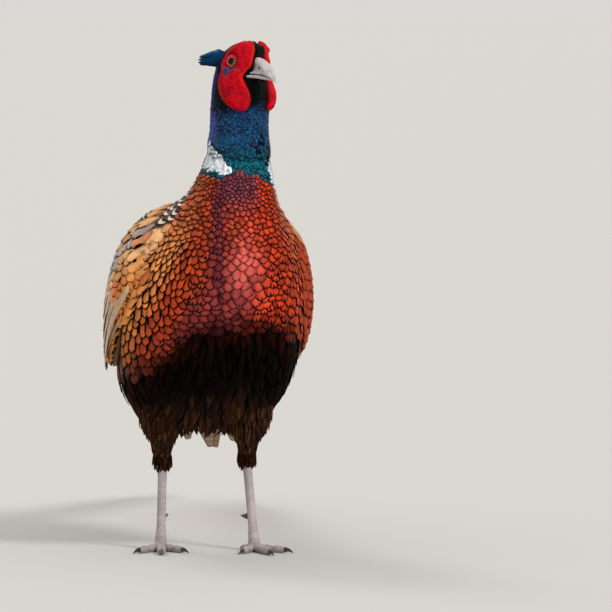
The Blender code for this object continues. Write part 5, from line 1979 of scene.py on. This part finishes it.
def make_leg(side, sign, leg, materials):
    """Shank and foot as one scaled skin, with claws and spur."""
    relief = [shank_rings(leg)] + [toe_rings(leg, toe, sign) for toe in TOES.values()]
    height = np.linspace(0.4, leg.foot[2] + 1, 24)
    centres = np.stack([np.full(24, leg.foot[0]), np.full(24, leg.foot[1]), height], -1)
    hub_width = np.interp(height, (0, 2, 5, 10), (5.2, 6.0, 5.7, 4.8))
    hub_depth = np.interp(height, (0, 2, 5, 10), (5.4, 6.2, 6.1, 5.3))
    skins = [capped(rings) for rings, _ in relief]
    skins.insert(1, capped(tube_rings(centres, hub_width, hub_depth, 32)))
    made = remeshed(closed_object(f"foot_skin_{side}", *skins), FINE_VOXEL, 1)
    points, _ = vertices_of(made)
    points[:, 2] = np.maximum(points[:, 2], 0.05)
    move_vertices(made, points)
    tree = tree_of(np.concatenate([rings.reshape(-1, 3) for rings, _ in relief]))
    scales = np.concatenate([scale.ravel() for _, scale in relief])
    values = scales[[tree.find(p)[1] for p in points]]
    marks = (values, falling(points[:, 2], 2, 16), values)
    finish_piece(made, materials["leg"], "leg_skin", f"shank_{side}", f"foot_{side}", marks=marks)
    made = closed_object(f"claws_{side}", *(claw_skin(leg, toe, sign) for toe in TOES.values()))
    finish_piece(made, materials["claw"], "claw_horn", *(f"claw_{name}_{side}" for name in TOES))
    made = closed_object(f"spur_horn_{side}", spur_skin(leg, sign))
    finish_piece(made, materials["claw"], "claw_horn", f"spur_{side}")


def leg_material(c):
    web = Web("leg scales", 0.5, specular=0.35)
    scale, low, _ = web.marks()
    base = web.mix(web.noise(90.0).ramp(0.35, 0.7), c.leg, paint("b4a8ac"))
    base = web.mix(low * 0.25, base, paint("8c7e78"))
    base = web.mix(scale.ramp(0.0, 0.6), paint("7c6c6c"), base)
    web.bump(web.noise(700.0, 3.0), 0.25, 0.3)
    return web.finish(base)


def thigh_spacing(rise, angle):
    return 2.5 + 0.8 * np.clip(rise, 0, 3)


def lay_thigh(side, leg, material):
    """Fine, hair-like dark feathers down one thigh to the hock."""
    random = random_source(90 if side == "left" else 91)
    surface = thigh_point(leg)
    rise, angle = spread_roots(surface, (0.02, 4.0), (-180.0, 180.0), thigh_spacing, 8, 92, wrap=180.0)
    apart = thigh_spacing(rise, angle)
    point, along, _, normal = derivatives(surface, rise, angle, 0.02, 1.0)
    count = len(rise)
    point = point + normal * (0.7 * smooth(rise, 0.0, 0.3) - 3.1 * smooth(rise, 0.15, 1.2))[:, None]
    spread = 0.03 + 0.10 * smooth(rise, 0.0, 0.4) * (1.7 - smooth(rise, 0.4, 1.4))
    way = -unit(along) + normal * spread[:, None] + random.normal(0, 0.05, (count, 3))
    length = apart * random.uniform(2.8, 4.0, count)
    points = free_vanes(point, way, normal, length, apart * 0.40, -0.05, 0.5, POINTED)
    c = plumage_colours()
    pale = (random.random(count) < 0.35) * random.uniform(0.2, 1, count)
    tint = mixed(c.thigh, c.streak, pale * 0.7) * random.uniform(0.6, 1.4, count)[:, None]
    roots = (angle / 380 + 0.5, rise / 4.2)
    coat = Coat().add(points, POINTED, roots, tint * 0.6, tint * 1.2, (0.01, 0, 0.1))
    coat.make(f"thigh_feathers_{side}", material, "leg_plumage")


class PHEASANT_OT_legs(Operator):
    """Make shanks, feet, claws and spurs, and the feathers of the thighs"""

    bl_idname = "pheasant.legs"
    bl_label = "Legs"

    def execute(self, context):
        c = context.scene.bare
        web = Web("claw", 0.35)
        web.bump(web.noise(600.0), 0.15, 0.3)
        claw = web.finish(web.shaded(c.claw, 0.35))
        materials = {"leg": leg_material(c), "claw": claw}
        hair = scale_feather("thigh feathers", context.scene.plumage.ink, 0.8, 0.0, 0.03)
        for side, sign in SIDES.items():
            make_leg(side, sign, LEGS[side], materials)
            lay_thigh(side, LEGS[side], hair)
        return {"FINISHED"}


# Stage

FLOOR_REACH = 40.0         # in metres


def aim_camera(settings):
    a, e = math.radians(settings.azimuth), math.radians(settings.elevation)
    back = np.array([math.sin(a) * math.cos(e), -math.cos(a) * math.cos(e), math.sin(e)])
    right = np.array([math.cos(a), math.sin(a), 0])
    up = np.cross(back, right)
    target = right * settings.aim_right + up * settings.aim_up
    camera = linked("camera", bpy.data.cameras.new("camera"))
    camera.data.lens = settings.lens
    camera.data.clip_end = 100
    camera.matrix_world = Matrix([(*right, 0), (*up, 0), (*back, 0), (0, 0, 0, 1)]).transposed()
    camera.location = to_row(target + back * settings.distance)
    bpy.context.scene.camera = camera


def add_sun(name, way, energy, softness, tint):
    """A wide, far light. The way is where its light goes."""
    light = linked(name, bpy.data.lights.new(name, "SUN"))
    light.data.energy = energy
    light.data.angle = math.radians(softness)
    light.data.color = tint
    light.rotation_euler = Vector(way).to_track_quat("-Z", "Y").to_euler()


class PHEASANT_OT_stage(Operator):
    """Set the floor, the lights and the camera"""

    bl_idname = "pheasant.stage"
    bl_label = "Stage"

    def execute(self, context):
        settings = context.scene.stage
        corners = np.array([(-1, -1, 0), (1, -1, 0), (1, 1, 0), (-1, 1, 0)]) * FLOOR_REACH
        floor = add_mesh("floor", corners, np.array([[0, 1, 2, 3]]))
        web = Web("floor", 0.8)
        floor.data.materials.append(web.finish(settings.floor))
        world = bpy.data.worlds.new("soft studio")
        world.use_nodes = True
        colour_input, strength_input = world.node_tree.nodes["Background"].inputs[:2]
        colour_input.default_value = (*settings.sky, 1)
        strength_input.default_value = settings.sky_strength
        context.scene.world = world
        add_sun("key", (-0.42, 0.80, -0.62), settings.key_strength, 14.0, (1, 0.96, 0.90))
        add_sun("rim", (0.35, -0.75, -0.85), settings.rim_strength, 20.0, (1, 1, 1))
        aim_camera(settings)
        context.scene.view_settings.view_transform = "Standard"
        return {"FINISHED"}


class PHEASANT_PT_panel(Panel):
    """The bird's pieces and settings"""

    bl_label = "Cock pheasant"
    bl_idname = "PHEASANT_PT_panel"
    bl_space_type = "VIEW_3D"
    bl_region_type = "UI"
    bl_category = "Pheasant"

    def draw(self, context):
        for group in SETTINGS:
            for name in SETTINGS[group].__annotations__:
                self.layout.prop(getattr(context.scene, group), name)
        for step in STEPS:
            self.layout.operator(step.bl_idname)


SETTINGS = {"plumage": PlumageColours, "bare": BareColours, "coat": CoatSettings, "stage": StageSettings}
STEPS = (PHEASANT_OT_skin, PHEASANT_OT_body_coat, PHEASANT_OT_head_coat, PHEASANT_OT_head,
         PHEASANT_OT_wings, PHEASANT_OT_tail, PHEASANT_OT_legs, PHEASANT_OT_stage)
CLASSES = (*SETTINGS.values(), *STEPS, PHEASANT_PT_panel)


def register():
    for kind in CLASSES:
        bpy.utils.register_class(kind)
    for name, kind in SETTINGS.items():
        setattr(bpy.types.Scene, name, PointerProperty(type=kind))


def unregister():
    for name in SETTINGS:
        delattr(bpy.types.Scene, name)
    for kind in reversed(CLASSES):
        bpy.utils.unregister_class(kind)


def main():
    register()
    for step in STEPS:
        group, name = step.bl_idname.split(".")
        getattr(getattr(bpy.ops, group), name)()


if __name__ == "__main__":
    main()
